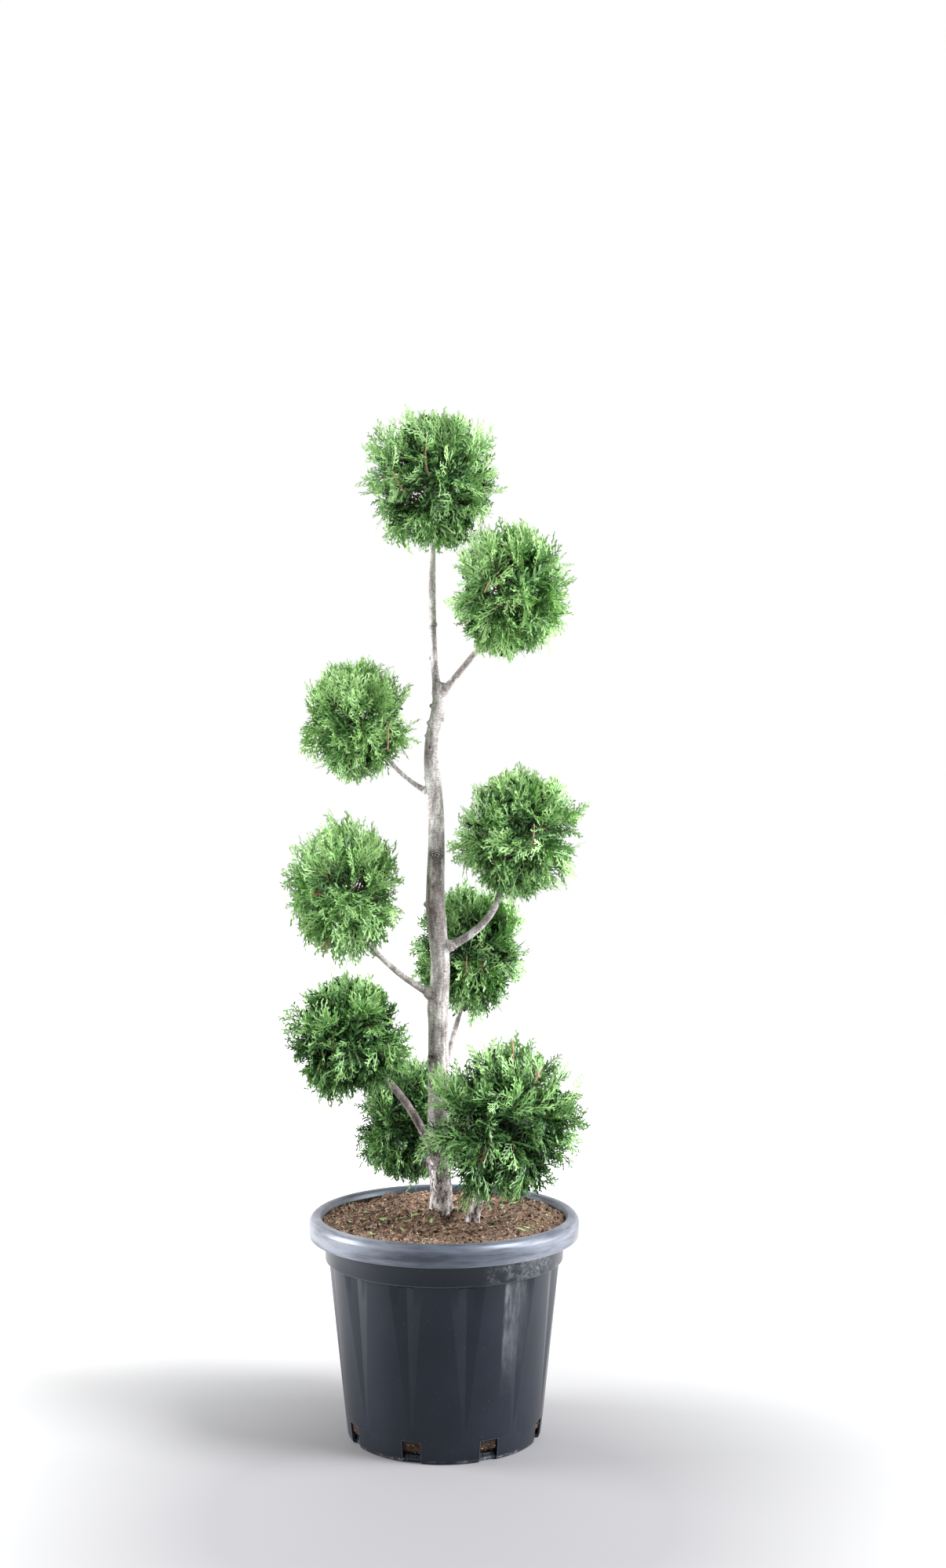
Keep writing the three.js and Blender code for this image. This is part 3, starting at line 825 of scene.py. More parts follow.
radii = CRUMBS_REACH * np.sqrt(draw.uniform(0, 1, CRUMB_COUNT))
turns = draw.uniform(0, 360, CRUMB_COUNT)
foot_radii = 17 + 12 * draw.uniform(0, 1, FOOT_CRUMBS) ** 1.5
sizes = np.clip(0.85 * np.exp(draw.normal(0, 0.60, CRUMB_COUNT)), *CRUMB_SIZES)
sizes[:FOOT_CRUMBS] *= FOOT_CRUMBS_LARGER
places = np.array([polar(turn, radius, 0) for turn, radius in zip(turns, radii)])
places[:FOOT_CRUMBS] = [polar(turn, radius, 0) for turn, radius in zip(turns, foot_radii)]
places[:FOOT_CRUMBS] += (*TRUNK_FOOT, 0)
places[:, 2] = [peat_top(x, y) for x, y in places[:, :2]]
places[:, 2] += 0.35 * sizes
crumb_heap = Heap()
tones = draw.choice(4, size=CRUMB_COUNT, p=CRUMB_SHARES)
crumb_heap.add(crumbs(places, sizes), crumb_faces, tones[:, None])
print("crumbs on the peat:", CRUMB_COUNT)

# %% Crumbs in the drain slots
SLOT_CRUMBS = 44
SLOT_CRUMB_SIZES = (0.6, 1.9)
# painted shade: the crumbs in the slots are mostly the dark ones
SHADED_SLOT_CRUMB_SHARES = [0.74, 0.20, 0.03, 0.03]
SLOPE_BELOW, SLOPE = 17, 0.8  # below this height the peat in a slot slopes back

slot_places = []
for middle in slot_turns:
    for _ in range(SLOT_CRUMBS):
        height = draw.uniform(11.5, 29.5)
        turn = middle + draw.uniform(-5, 5)
        behind = draw.uniform(0.2, 2.5) + max(0, SLOPE_BELOW - height) * SLOPE
        slot_places.append(polar(turn, wall_radius(height) - WALL - behind, height))
slot_places = np.array(slot_places)
slot_sizes = draw.uniform(*SLOT_CRUMB_SIZES, len(slot_places))
tones = draw.choice(4, size=len(slot_places), p=SHADED_SLOT_CRUMB_SHARES)
crumb_heap.add(crumbs(slot_places, slot_sizes), crumb_faces, tones[:, None])
peat_crumb_piece = crumb_heap.piece("peat_crumbs", peat_crumbs)
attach(peat_crumb_piece, "root")
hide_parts("soil")

# %% [markdown]
# Straw fibres lie over the crumbs in every direction. Each is a thin three-sided tube that bends as it
# goes, follows the peat and thins at its end.

# %% Straw fibres
FIBRE_COUNT = 950
FIBRE_STEPS = 4
FIBRE_REACH = 171
FIBRE_TAPER = np.array([1, 1, 1, 0.9, 0.4])
FIBRE_SHARES = [0.3, 0.45, 0.25]  # brown, russet and straw

fibre_heap = Heap()
fibre_faces = []
for step in range(FIBRE_STEPS):
    for side in range(3):
        a, b = step * 3 + side, step * 3 + (side + 1) % 3
        fibre_faces += [(a, b, b + 3), (a, b + 3, a + 3)]
fibre_faces += [(2, 1, 0), (FIBRE_STEPS * 3, FIBRE_STEPS * 3 + 1, FIBRE_STEPS * 3 + 2)]
up_way = np.array([0, 0, 1.0])
for _ in range(FIBRE_COUNT):
    radius, turn = 168 * math.sqrt(draw.uniform()), draw.uniform(0, 360)
    heading, curl = draw.uniform(0, 2 * math.pi), draw.normal(0, 0.35)
    length, thick = draw.uniform(5, 20), draw.uniform(0.16, 0.38)
    x, y, _z = polar(turn, radius, 0)
    line = []
    for step in range(FIBRE_STEPS + 1):
        lift = 1.0 + 1.6 * draw.uniform() * math.sin(math.pi * step / FIBRE_STEPS)
        line.append((x, y, peat_top(x, y) + lift))
        x += length / FIBRE_STEPS * math.cos(heading)
        y += length / FIBRE_STEPS * math.sin(heading)
        heading += curl
    if math.hypot(x, y) > FIBRE_REACH:
        continue
    side_way = np.array([-math.sin(heading), math.cos(heading), 0])
    ring = thick * np.array([side_way, up_way * 0.8 - side_way * 0.5, -up_way * 0.8 - side_way * 0.5])
    shape = np.array(line)[:, None] + FIBRE_TAPER[:, None, None] * ring
    fibre_heap.add(shape.reshape(-1, 3), fibre_faces, int(draw.choice(3, p=FIBRE_SHARES)))
fibre_finishes = [
    peat_material("fibre_brown", (0.07, 0.04, 0.025), (0.16, 0.09, 0.055)),
    peat_material("fibre_russet", (0.16, 0.085, 0.05), (0.30, 0.17, 0.10)),
    peat_material("fibre_straw", (0.32, 0.24, 0.16), (0.52, 0.42, 0.30))]
fibres = fibre_heap.piece("peat_fibres", fibre_finishes)
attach(fibres, "root")
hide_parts("soil")

# %% [markdown]
# ## Trunk, boughs and bark
# The trunk is one bent line with a tapering radius, and each bough leaves it along a curve. These
# are the lines of the part's source, written again here. Tubes along them would cross with hard
# creases, so the tubes are joined and remeshed into one skin, smoothed so that each fork flows,
# and then given the bark's relief point by point.

# %% The lines of the limbs, in millimetres
FOOT = 312.3
TRUNK = np.array([  # x, y, height, radius
    (-3, 1, FOOT, 16.5), (-4, 1, 344, 15.6), (-8, 1, 400, 15.8), (-8, 0, 510, 15.2), (-9, -1, 590, 14.1),
    (-6, -1, 680, 13.8), (-12, 0, 760, 12.9), (-11, 1, 880, 11.6), (-17, 1, 1000, 10.9),
    (-8, 0, 1050, 9.6), (-7, 0, 1084, 8.0)])
TRUNK_TOP = TRUNK[-1, 2]
BOUGHS = {  # from, towards, tip, radius at the foot and at the tip
    "top": ((-8, 0, 1060), (-20, 4, 1135), (-17, 8, 1287), (5.6, 4.9)),
    "upper_right": ((-5, 0, 1066), (16, -12, 1090), (56, -32, 1139), (5.0, 3.9)),
    "left_high": ((-15, 1, 922), (-52, -2, 938), (-80, 2, 972), (3.9, 3.1)),
    "right_middle": ((-4, -1, 699), (78, -28, 731), (83, -30, 803), (6.0, 4.6)),
    "left_middle": ((-9, -1, 630), (-63, -10, 655), (-105, -20, 705), (5.4, 3.6)),
    "back_middle": ((-8, 0, 482), (6, 48, 552), (29, 82, 618), (4.6, 3.6)),
    "left_low": ((-8, 1, 378), (-37, -34, 478), (-96, -40, 530), (6.2, 5.4)),
    "back_low": ((-6, 1, 366), (-22, 34, 372), (-34, 52, 392), (5.6, 4.6)),
    "front_low": ((45, -36, FOOT), (49, -50, 345), (58, -66, 372), (9.4, 7.0))}
BALLS = {  # middle, reach down and up each axis, seed
    "top": ((-17, 10, 1375), (106, 100, 104), (106, 100, 103), 11),
    "upper_right": ((92, -42, 1214), (91, 88, 95), (91, 88, 96), 23),
    "left_high": ((-128, 20, 1028), (87, 84, 84), (87, 84, 85), 37),
    "right_middle": ((105, -30, 866), (96, 90, 92), (97, 90, 93), 41),
    "left_middle": ((-144, -20, 788), (81, 84, 102), (85, 84, 101), 53),
    "back_middle": ((38, 96, 690), (89, 80, 98), (82, 84, 93), 67),
    "left_low": ((-139, -40, 578), (89, 88, 84), (94, 86, 83), 71),
    "back_low": ((-53, 98, 434), (87, 84, 96), (82, 86, 96), 83),
    "front_low": ((88, -97, 468), (106, 100, 108), (110, 98, 110), 97)}


def bend_line(start, towards, tip, steps):
    """Points along a curve that leaves start towards a point and ends at the tip."""
    t = np.linspace(0, 1, steps + 1)[:, None]
    start, towards, tip = (np.array(p, float) for p in (start, towards, tip))
    return (1 - t) ** 2 * start + 2 * t * (1 - t) * towards + t ** 2 * tip


def trunk_at(heights):
    """The trunk's middle and radius at these heights, smooth through its levels."""
    known = TRUNK[:, 2]
    slopes = np.gradient(TRUNK, known, axis=0)
    i = np.clip(np.searchsorted(known, heights) - 1, 0, len(known) - 2)
    gap = (known[i + 1] - known[i])[:, None]
    t = np.clip((heights - known[i])[:, None] / gap, -1, 1)
    return ((2 * t ** 3 - 3 * t ** 2 + 1) * TRUNK[i] + (t ** 3 - 2 * t ** 2 + t) * gap * slopes[i]
            + (3 * t ** 2 - 2 * t ** 3) * TRUNK[i + 1] + (t ** 3 - t ** 2) * gap * slopes[i + 1])


def mass_stem(name, steps=12):
    """A ball's own stem, from its bough's tip on to the ball's middle."""
    start, towards, tip, radii = BOUGHS[name]
    tip, middle = np.array(tip, float), np.array(BALLS[name][0], float)
    onward = unit(tip - np.array(towards, float))
    bend = tip + onward * 0.5 * np.linalg.norm(middle - tip)
    return bend_line(tip, bend, middle, steps), radii[1] * np.linspace(1, 0.5, steps + 1)


# %% Tubes along lines
def tube(line, radii, sides):
    """Points and triangles of one closed tube. Radii are one per point, or one per point and side."""
    line = np.asarray(line, float)
    tangents = unit(np.gradient(line, axis=0))
    helper = np.array([0, 1, 0]) if abs(tangents[0][1]) < 0.8 else np.array([1, 0, 0])
    across = unit(np.cross(tangents[0], helper))
    carried = []
    for tangent in tangents:
        across = unit(across - tangent * (across @ tangent))
        carried.append(across)
    carried = np.array(carried)
    other = np.cross(tangents, carried)
    turns = np.arange(sides) * 2 * math.pi / sides
    radii = np.broadcast_to(np.reshape(radii, (len(line), -1)), (len(line), sides))[..., None]
    rings = line[:, None] + radii * (
        np.cos(turns)[None, :, None] * carried[:, None] + np.sin(turns)[None, :, None] * other[:, None])
    side = np.arange(sides)
    beside = (side + 1) % sides
    faces = []
    for row in range(len(line) - 1):
        low, high = row * sides, (row + 1) * sides
        faces += [np.stack([low + side, low + beside, high + beside], 1),
                  np.stack([low + side, high + beside, high + side], 1)]
    first, last = len(line) * sides, len(line) * sides + 1
    end = (len(line) - 1) * sides
    faces += [np.stack([np.full(sides, first), beside, side], 1),
              np.stack([np.full(sides, last), end + side, end + beside], 1)]
    return np.concatenate([rings.reshape(-1, 3), line[:1], line[-1:]]), np.concatenate(faces)


# %% The trunk's tube, with its root flare
SUNK = 9  # how far trunk and stem go down into the peat
LIMB_SIDES, BOUGH_SIDES = 28, 14
ROOT_SWELL, ROOT_FADE = 0.34, 20
ROOT_LOBES, LOBES_TURNED = 3, 0.6

limb_heap = Heap()
limb_lines = {}
heights = np.linspace(FOOT - SUNK, TRUNK_TOP, 150)
trunk_levels = trunk_at(heights)
turns = np.arange(LIMB_SIDES) * 2 * math.pi / LIMB_SIDES
lobes = 0.5 + 0.5 * np.cos(ROOT_LOBES * turns + LOBES_TURNED)
flare = 1 + ROOT_SWELL * np.exp(-np.maximum(0, heights - FOOT) / ROOT_FADE)[:, None] * lobes[None]
limb_heap.add(*tube(trunk_levels[:, :3], trunk_levels[:, 3:4] * flare, LIMB_SIDES))
limb_lines["trunk"] = (trunk_levels[:, :3], trunk_levels[:, 3])
print("trunk from", heights[0], "to", heights[-1], "mm")

# %% The boughs' tubes, with swollen collars
COLLAR_SWELL, COLLAR_FADE = 0.55, 9.0
STEM_SWELL, STEM_FADE = 0.3, 9
STEM_SHIFT = 5  # the second stem's root starts this far to the left
THINNEST = 1.9

for name, (start, towards, tip, (foot, end)) in BOUGHS.items():
    line = bend_line(start, towards, tip, 40)
    radii = np.linspace(foot, end, len(line))
    along = np.concatenate([[0], np.cumsum(np.linalg.norm(np.diff(line, axis=0), axis=1))])
    if name == "front_low":  # the second stem swells into its own root instead
        line[0, 2] = FOOT
        line[:, 0] -= STEM_SHIFT * np.linspace(1, 0, len(line))
        line = np.vstack([[line[0] - (0, 0, SUNK)], line])
        radii = np.concatenate([[radii[0]], radii])
        along = np.concatenate([[0], along + SUNK])
        radii = radii * (1 + STEM_SWELL * np.exp(-np.maximum(0, along - SUNK) / STEM_FADE))
    else:
        near = np.linalg.norm(line[0] - trunk_levels[:, :3], axis=1).argmin()
        past = np.maximum(0, along - trunk_levels[near, 3])
        radii = radii * (1 + COLLAR_SWELL * np.exp(-past / COLLAR_FADE))
    stem, stem_radii = mass_stem(name)
    line = np.vstack([line, stem[1:]])
    radii = np.concatenate([radii, np.maximum(THINNEST, stem_radii[1:])])
    limb_heap.add(*tube(line, radii, BOUGH_SIDES))
    limb_lines[name] = (line, radii)
print("limbs:", len(limb_lines))

# %% [markdown]
# Stubs stand where side shoots were pruned off close to the trunk. The short ones are knots that
# healed over: an eye-shaped ring round a dark pit. The longer ones are little pegs with a cut face,
# and join the tubes.

# %% Pegs where side shoots were cut
PEGS = [  # height, turn from the front in degrees, radius, length past the bark, and lift of its tip
    (753, -84, 2.8, 3.2, 12.0), (1024, -74, 3.6, 2.6, 2.0), (1030, 62, 4.0, 2.6, 1.0),
    (1049, -80, 3.2, 3.6, 1.0), (1006, -84, 2.2, 2.0, 1.0), (945, -96, 1.8, 1.8, 1.0),
    (1118, -86, 2.4, 2.6, 2.0), (1168, 70, 2.2, 1.6, 1.0)]
PEG_STEPS, PEG_SIDES = 6, 12
LEADER_FROM = 1075


def limb_middle_at(height):
    """The middle and radius of trunk or leader at a height."""
    if height < LEADER_FROM:
        level = trunk_at(np.array([float(height)]))[0]
        return level[:3], level[3]
    line, radii = limb_lines["top"]
    i = np.abs(line[:, 2] - height).argmin()
    return line[i], radii[i]


for height, turn, radius, length, lift in PEGS:
    middle, bark_radius = limb_middle_at(height)
    way = np.array(polar(turn, 1, 0))
    tip = middle + way * (bark_radius + length) + (0, 0, lift)
    steps = np.linspace(0, 1, PEG_STEPS)[:, None]
    line = middle * (1 - steps) + tip * steps
    limb_heap.add(*tube(line, np.linspace(radius * 1.5, radius * 0.8, PEG_STEPS), PEG_SIDES))
print("pegs:", len(PEGS))

# %% The tubes as one smooth skin
VOXEL = 1.35 * MM


def with_modifiers(raw, *modifiers):
    """The object's mesh after the given modifiers, as a new mesh."""
    for kind, settings in modifiers:
        modifier = raw.modifiers.new(kind.lower(), kind)
        for name, value in settings.items():
            setattr(modifier, name, value)
    graph = bpy.context.evaluated_depsgraph_get()
    return bpy.data.meshes.new_from_object(raw.evaluated_get(graph))


raw_limbs = limb_heap.piece("raw_limbs", [])
skin = with_modifiers(raw_limbs, ("REMESH", {"mode": "VOXEL", "voxel_size": VOXEL}),
                      ("SMOOTH", {"factor": 0.5, "iterations": 5}))
bpy.data.objects.remove(raw_limbs)
print("skin faces:", len(skin.polygons))

# %% [markdown]
# Young arborvitae bark is silver grey and fairly smooth. Thin wrinkles and pores run round it, it
# folds in rings at the foot of each bough, and it bulges softly between. The relief moves each point
# of the skin along its normal by a few tenths of a millimetre for these, and more for the healed
# knots and for the step where an old leader was sawn off. Each cell below adds its share, and notes
# where painted shade darkens the hollows.

# %% Where the skin's points lie round the trunk
count = len(skin.vertices)
co = np.empty(count * 3)
skin.vertices.foreach_get("co", co)
co = co.reshape(-1, 3) / MM
normals = np.empty(count * 3)
skin.vertices.foreach_get("normal", normals)
normals = normals.reshape(-1, 3)

height_here = co[:, 2].copy()  # before the relief moves the points
levels_here = trunk_at(np.clip(height_here, FOOT - SUNK, TRUNK_TOP))
offset = co - levels_here[:, :3]
from_axis = np.hypot(offset[:, 0], offset[:, 1])
on_trunk = (from_axis < levels_here[:, 3] * 1.45 + 2) & (height_here < TRUNK_TOP + 2)
turn_here = np.degrees(np.arctan2(offset[:, 0], -offset[:, 1]))


def noise_over(wide, high, shift=0):
    """Noise at every point, with bumps about so wide and so high in millimetres."""
    return np.array([noise.noise(Vector((x / wide, y / wide, z / high + shift))) for x, y, z in co])


def along_bark(turn):
    """How far round the trunk every point lies from a turn, in millimetres."""
    return np.radians((turn_here - turn + 180) % 360 - 180) * levels_here[:, 3]


print("points on the trunk:", int(on_trunk.sum()), "of", count)

# %% Bulges, wrinkles and pores, and the folds at each bough's foot
RING_FOLDS = 4.2  # millimetres between the folds
FOLD_HEIGHT, FOLD_FADE = 0.34, 7
# painted shade in the folds' valleys, less on the two upper boughs
FOLD_PAINTED_SHADE, FOLD_PAINTED_SHADE_ON_TOP = 0.45, 0.15

relief = 0.55 * noise_over(26, 60) + 0.09 * noise_over(15, 2.6)
relief += 0.06 * noise_over(6, 1.7, 50) + 0.16 * noise_over(4.5, 26, 90)
wobble = 0.22 * noise_over(6, 3)
painted_hollow_shade = np.zeros(count)
folds = np.zeros(count)
for name, (line, radii) in limb_lines.items():
    if name in ("trunk", "front_low"):
        continue
    near = np.linalg.norm(line[0] - trunk_levels[:, :3], axis=1).argmin()
    out = np.linalg.norm(line - line[0], axis=1)
    mouth = line[np.abs(out - trunk_levels[near, 3] - 2).argmin()]
    away = np.linalg.norm(co - mouth, axis=1)
    fading = np.exp(-np.maximum(0, away - radii[0]) / FOLD_FADE)
    wave = np.cos(2 * math.pi * away / RING_FOLDS)
    folds += FOLD_HEIGHT * wave * fading
    # painted shade in the fold's valleys
    fold_painted_shade = FOLD_PAINTED_SHADE_ON_TOP if name in ("top", "upper_right") else FOLD_PAINTED_SHADE
    painted_hollow_shade = np.maximum(painted_hollow_shade, fold_painted_shade * fading * (wave < -0.4))
print("folds up to", round(folds.max(), 2), "mm")

# %% Healed knots, with a ring round a pit and ripples beyond
KNOTS = [  # height, turn, half height, half width, depth of the pit
    (545, -40, 5.6, 8.5, 1.8), (508, -18, 5.6, 10.0, 1.8), (534, -62, 3.2, 4.6, 1.4),
    (578, 50, 2.4, 5.5, 0.9), (622, 6, 2.5, 4.5, 0.7), (628, -38, 3.0, 6.0, 0.7),
    (990, -18, 4.5, 3.5, 0.9), (668, 30, 3.5, 5.0, 0.6), (716, -40, 3.0, 4.5, 0.6),
    (893, 20, 3.0, 4.5, 0.6), (450, 14, 3.5, 6.0, 0.7), (560, 170, 5.0, 7.0, 1.4),
    (860, -150, 4.5, 6.0, 1.2), (742, 120, 4.0, 6.0, 1.2)]
LINED_KNOTS = KNOTS[:3]  # these also get dark lines round them

for height, turn, half_height, half_width, depth in KNOTS:
    size = np.hypot(along_bark(turn) / half_width, (height_here - height) / half_height) + wobble
    size = np.where(on_trunk, size, 9)
    relief += depth * 0.7 * np.exp(-((size - 0.85) / 0.35) ** 2) - depth * 1.3 * np.exp(-(size / 0.42) ** 2)
    relief += 0.20 * depth * np.cos(size * 8) * np.exp(-size / 1.2) * (size < 3.2)
    # painted shade in the knot's hollow
    painted_hollow_shade = np.maximum(painted_hollow_shade, np.exp(-(np.maximum(size, 0) / 0.36) ** 4) * min(1, depth))
print("knots:", len(KNOTS))

# %% The old saw cut and the thick stretch round it
SAW_CUT = {"height": 836, "turn": 6, "half_width": 7.0, "half_height": 4.5, "step": 1.3, "fades_over": 85}

beside_cut = along_bark(SAW_CUT["turn"])
below_cut = SAW_CUT["height"] - height_here
size = np.hypot(beside_cut / SAW_CUT["half_width"], below_cut / SAW_CUT["half_height"]) + wobble
swollen_edge = 1.1 * np.exp(-((size - 0.7) / 0.3) ** 2) - 0.5 * np.exp(-(size / 0.3) ** 2)
relief += np.where(on_trunk, swollen_edge, 0)
below_edge = below_cut - SAW_CUT["half_height"]
scar = on_trunk & (below_edge > 0) & (np.abs(beside_cut) < SAW_CUT["half_width"] + 1)
relief -= np.where(scar, SAW_CUT["step"] * np.clip(1 - below_edge / SAW_CUT["fades_over"], 0, 1), 0)
thicker = 1.3 * np.interp(height_here, [680, 760, 815, 850], [0, 1, 0.8, 0])
relief += np.where(on_trunk, thicker * (0.6 - 0.4 * np.sin(np.radians(turn_here))), 0)
print("points in the cut's scar:", int(scar.sum()))

# %% A swelling under the left bough, a band with a crease, and the leader's ring
CREASE_TURN = 18  # degrees from the front

from_left = np.radians((turn_here + 84) % 360) * levels_here[:, 3]
under_bough = np.hypot(from_left - 3, (height_here - 617) / 1.6)
relief += np.where(on_trunk, 3.0 * np.exp(-(under_bough / 12) ** 2), 0)
past_crease = turn_here - CREASE_TURN - 0.03 * (height_here - 580) - 20 * wobble
creased_stretch = on_trunk * np.interp(height_here, [455, 490, 680, 720], [0, 1, 1, 0])
relief += 0.5 * np.clip(past_crease / 9, 0, 1) * creased_stretch
relief -= 0.28 * np.exp(-(past_crease / 7) ** 2) * creased_stretch
on_leader = (co[:, 0] < 10) & (np.abs(height_here - 1166) < 20)
relief += on_leader * 0.9 * np.exp(-((height_here - 1168 + 4 * wobble) / 2.4) ** 2)
# painted shade under the leader's ring
painted_hollow_shade = np.maximum(painted_hollow_shade, on_leader * 0.9 * np.exp(-((height_here - 1164 + 4 * wobble) / 1.1) ** 2))
relief += folds
co += normals * relief[:, None]
skin.vertices.foreach_set("co", (co * MM).astype(np.float32).ravel())
print("relief from", round(relief.min(), 2), "to", round(relief.max(), 2), "mm")

# %% [markdown]
# Two numbers per point are kept on the mesh for the finish: how deep it lies in a pit or fold, which
# sets its painted shade, and how brown the bark is. The trunk is palest above the old saw cut and
# brownest just below it, most of all in the scar. Each bough has its own share of brown and takes it
# on a little past its foot.

# %% Painted shade and brown on every point
BROWN_AT = {  # height and share of brown
    300: 0.45, 340: 0.22, 420: 0.22, 500: 0.25, 560: 0.3, 690: 0.35, 740: 0.85, 800: 0.8, 832: 0.6,
    842: 0.3, 900: 0.0, 1300: 0.0}
BOUGH_BROWN = {
    "left_low": 0.85, "left_middle": 0.25, "right_middle": 0.1, "upper_right": 0.7, "left_high": 0.0,
    "back_middle": 0.55, "back_low": 0.7, "front_low": 0.45}


def keep_on_points(name, values):
    """Keeps one number from 0 to 1 per point on the skin, for its finish."""
    layer = skin.attributes.new(name, "FLOAT", "POINT")
    layer.data.foreach_set("value", np.clip(values, 0, 1).astype(np.float32))


# painted shade: deeper in a pit, fold or sunken place is darker
keep_on_points("pit", painted_hollow_shade - 0.5 * np.minimum(0, relief))
z = co[:, 2]
brown = np.interp(z, list(BROWN_AT), list(BROWN_AT.values()))
scar_stretch = on_trunk * np.clip((below_cut - 4) / 3, 0, 1) * np.clip(1 - (below_cut - 4) / 60, 0, 1)
brown_stretch = np.interp(z, [660, 700, 820, 845], [0, 1, 1, 0])
# painted light and shade: in this stretch the bark is painted browner on the left and paler on both sides
painted_shade_left = 0.2 * np.sin(np.radians(-turn_here))
painted_light_sides = 0.5 * np.clip((np.abs(turn_here) - 38) / 25, 0, 1)
brown += (painted_shade_left - painted_light_sides) * brown_stretch
brown += 0.25 * (np.abs(beside_cut) < SAW_CUT["half_width"]) * scar_stretch
brown -= 0.6 * np.exp(-((np.abs(beside_cut) - SAW_CUT["half_width"] - 1) / 1.3) ** 2) * scar_stretch

fork = TRUNK_TOP + 2  # above it only the right bough is told from the leader
right_of_leader = (z > fork) & (co[:, 0] > 12) | (co[:, 0] > 24)
off_trunk = np.flatnonzero(~on_trunk & (z < fork) | right_of_leader)
off_points, off_base = co[off_trunk], brown[off_trunk]
off_brown = off_base.copy()
nearest = np.full(len(off_trunk), 1e9)
for name, share in BOUGH_BROWN.items():
    line = limb_lines[name][0]
    away = np.linalg.norm(off_points[:, None] - line[None, ::2], axis=2).min(axis=1)
    taken_on = np.clip((np.linalg.norm(off_points - line[0], axis=1) - 14) / 16, 0, 1)
    off_brown = np.where(away < nearest, off_base + (share - off_base) * taken_on, off_brown)
    nearest = np.minimum(nearest, away)
brown[off_trunk] = off_brown
keep_on_points("brown", brown)
print("mean share of brown:", round(float(brown.mean()), 2))

# %% [markdown]
# The finish starts as silver or umber, mixed by the share of brown. Streaks along the trunk,
# speckles and wrinkles round it are laid over as lighter and darker greys. Then come the dark ones:
# flakes at the foot, the eye-shaped lines round three knots and the cut, and the painted shade in the
# hollows.

# %% Dark lines round a healed knot
EYE_LINES = [  # how far out, and how dark
    (0.26, 1), (0.29, 0), (0.33, 0), (0.355, 1), (0.43, 1), (0.455, 0), (0.51, 0), (0.535, 0.9),
    (0.60, 0.9), (0.63, 0), (0.69, 0), (0.715, 0.5), (0.765, 0.5), (0.79, 0)]


def eye_lines(material, place, height, turn, half_height, half_width):
    """A mask of torn curved lines round a place on the trunk."""
    level = trunk_at(np.array([float(height)]))[0]
    centre = level[:3] + np.array(polar(turn, level[3], 0))
    sizes = np.array([half_width, half_width, half_height])
    shape = node(material, "ShaderNodeMapping", {
        "Vector": place, "Location": tuple(-centre / sizes), "Scale": tuple(1000 / sizes)}).outputs["Vector"]
    away = node(material, "ShaderNodeVectorMath", {0: shape}, operation="LENGTH").outputs["Value"]
    torn = product(material, noise_at(material, place, 170, 2, 0.5), 0.7)
    return ramp(material, product(material, total(material, away, torn), 0.4), EYE_LINES)


print("stops in the lines:", len(EYE_LINES))

# %% The bark's finish
bark, bark_shader = new_material("bark", (0.30, 0.28, 0.26), 0.8)
place = own_place(bark)
across, lengthways, patches = (drawn_out(bark, place, upright) for upright in (8.0, 0.30, 0.45))
painted_hollow_shade_value, brown_value = (
    node(bark, "ShaderNodeAttribute", attribute_name=name).outputs["Fac"] for name in ("pit", "brown"))
silver = ramp(bark, noise_at(bark, patches, 50, 5, 0.65), [
    (0.34, (0.30, 0.282, 0.277)), (0.50, (0.50, 0.483, 0.475)), (0.64, (0.65, 0.637, 0.628))])
umber = ramp(bark, noise_at(bark, patches, 70, 5, 0.65), [
    (0.36, (0.100, 0.080, 0.077)), (0.50, (0.215, 0.180, 0.174)), (0.64, (0.42, 0.380, 0.372))])
speckle = ramp(bark, noise_at(bark, place, 420, 4, 0.7), [
    (0.38, (0.22, 0.20, 0.19)), (0.50, 0.5), (0.62, 0.80)])
streaks = ramp(bark, noise_at(bark, lengthways, 120, 6, 0.7), [
    (0.38, (0.22, 0.19, 0.19)), (0.52, 0.5), (0.64, 0.80)])
wrinkles = ramp(bark, noise_at(bark, across, 80, 4, 0.55), [
    (0.39, 0.5), (0.435, (0.08, 0.06, 0.06)), (0.47, 0.5), (0.52, 0.62), (0.56, (0.14, 0.12, 0.11)),
    (0.60, 0.60)])
colour = mixed(bark, brown_value, silver, umber)
for share, pattern in ((0.75, streaks), (0.40, speckle), (0.80, wrinkles)):
    colour = mixed(bark, share, colour, pattern, "OVERLAY")

at_foot = graded(bark, axes_of(bark, place)["Z"], 0.40, 0.47, 1.0, 0.0)
flakes = ramp(bark, noise_at(bark, patches, 270, 4, 0.62), [(0.455, 1), (0.478, 0)])
colour = mixed(bark, product(bark, flakes, at_foot, 0.9), colour, (0.055, 0.042, 0.036))
for height, turn, half_height, half_width, _depth in LINED_KNOTS:
    lines = eye_lines(bark, place, height, turn, half_height, half_width)
    colour = mixed(bark, product(bark, lines, 0.95), colour, (0.035, 0.028, 0.025))
cut_lines = eye_lines(bark, place, SAW_CUT["height"], SAW_CUT["turn"], 5.2, 8.0)
colour = mixed(bark, product(bark, cut_lines, 0.95), colour, (0.03, 0.024, 0.022))
# painted shade: the hollows of pit and fold are painted dark
colour = mixed(bark, product(bark, painted_hollow_shade_value, 0.85), colour, (0.045, 0.032, 0.025))
link(bark, colour, bark_shader.inputs["Base Color"])
bark_shader.inputs["Specular IOR Level"].default_value = 0.3
link(bark, graded(bark, noise_at(bark, place, 200, 3), 0, 1, 0.62, 0.92), bark_shader.inputs["Roughness"])
fine = total(bark, noise_at(bark, lengthways, 420, 5, 0.7), noise_at(bark, across, 85, 4, 0.6))
bump(bark, bark_shader, fine, 0.55, 0.0008)
print("nodes in the bark's finish:", len(bark.node_tree.nodes))

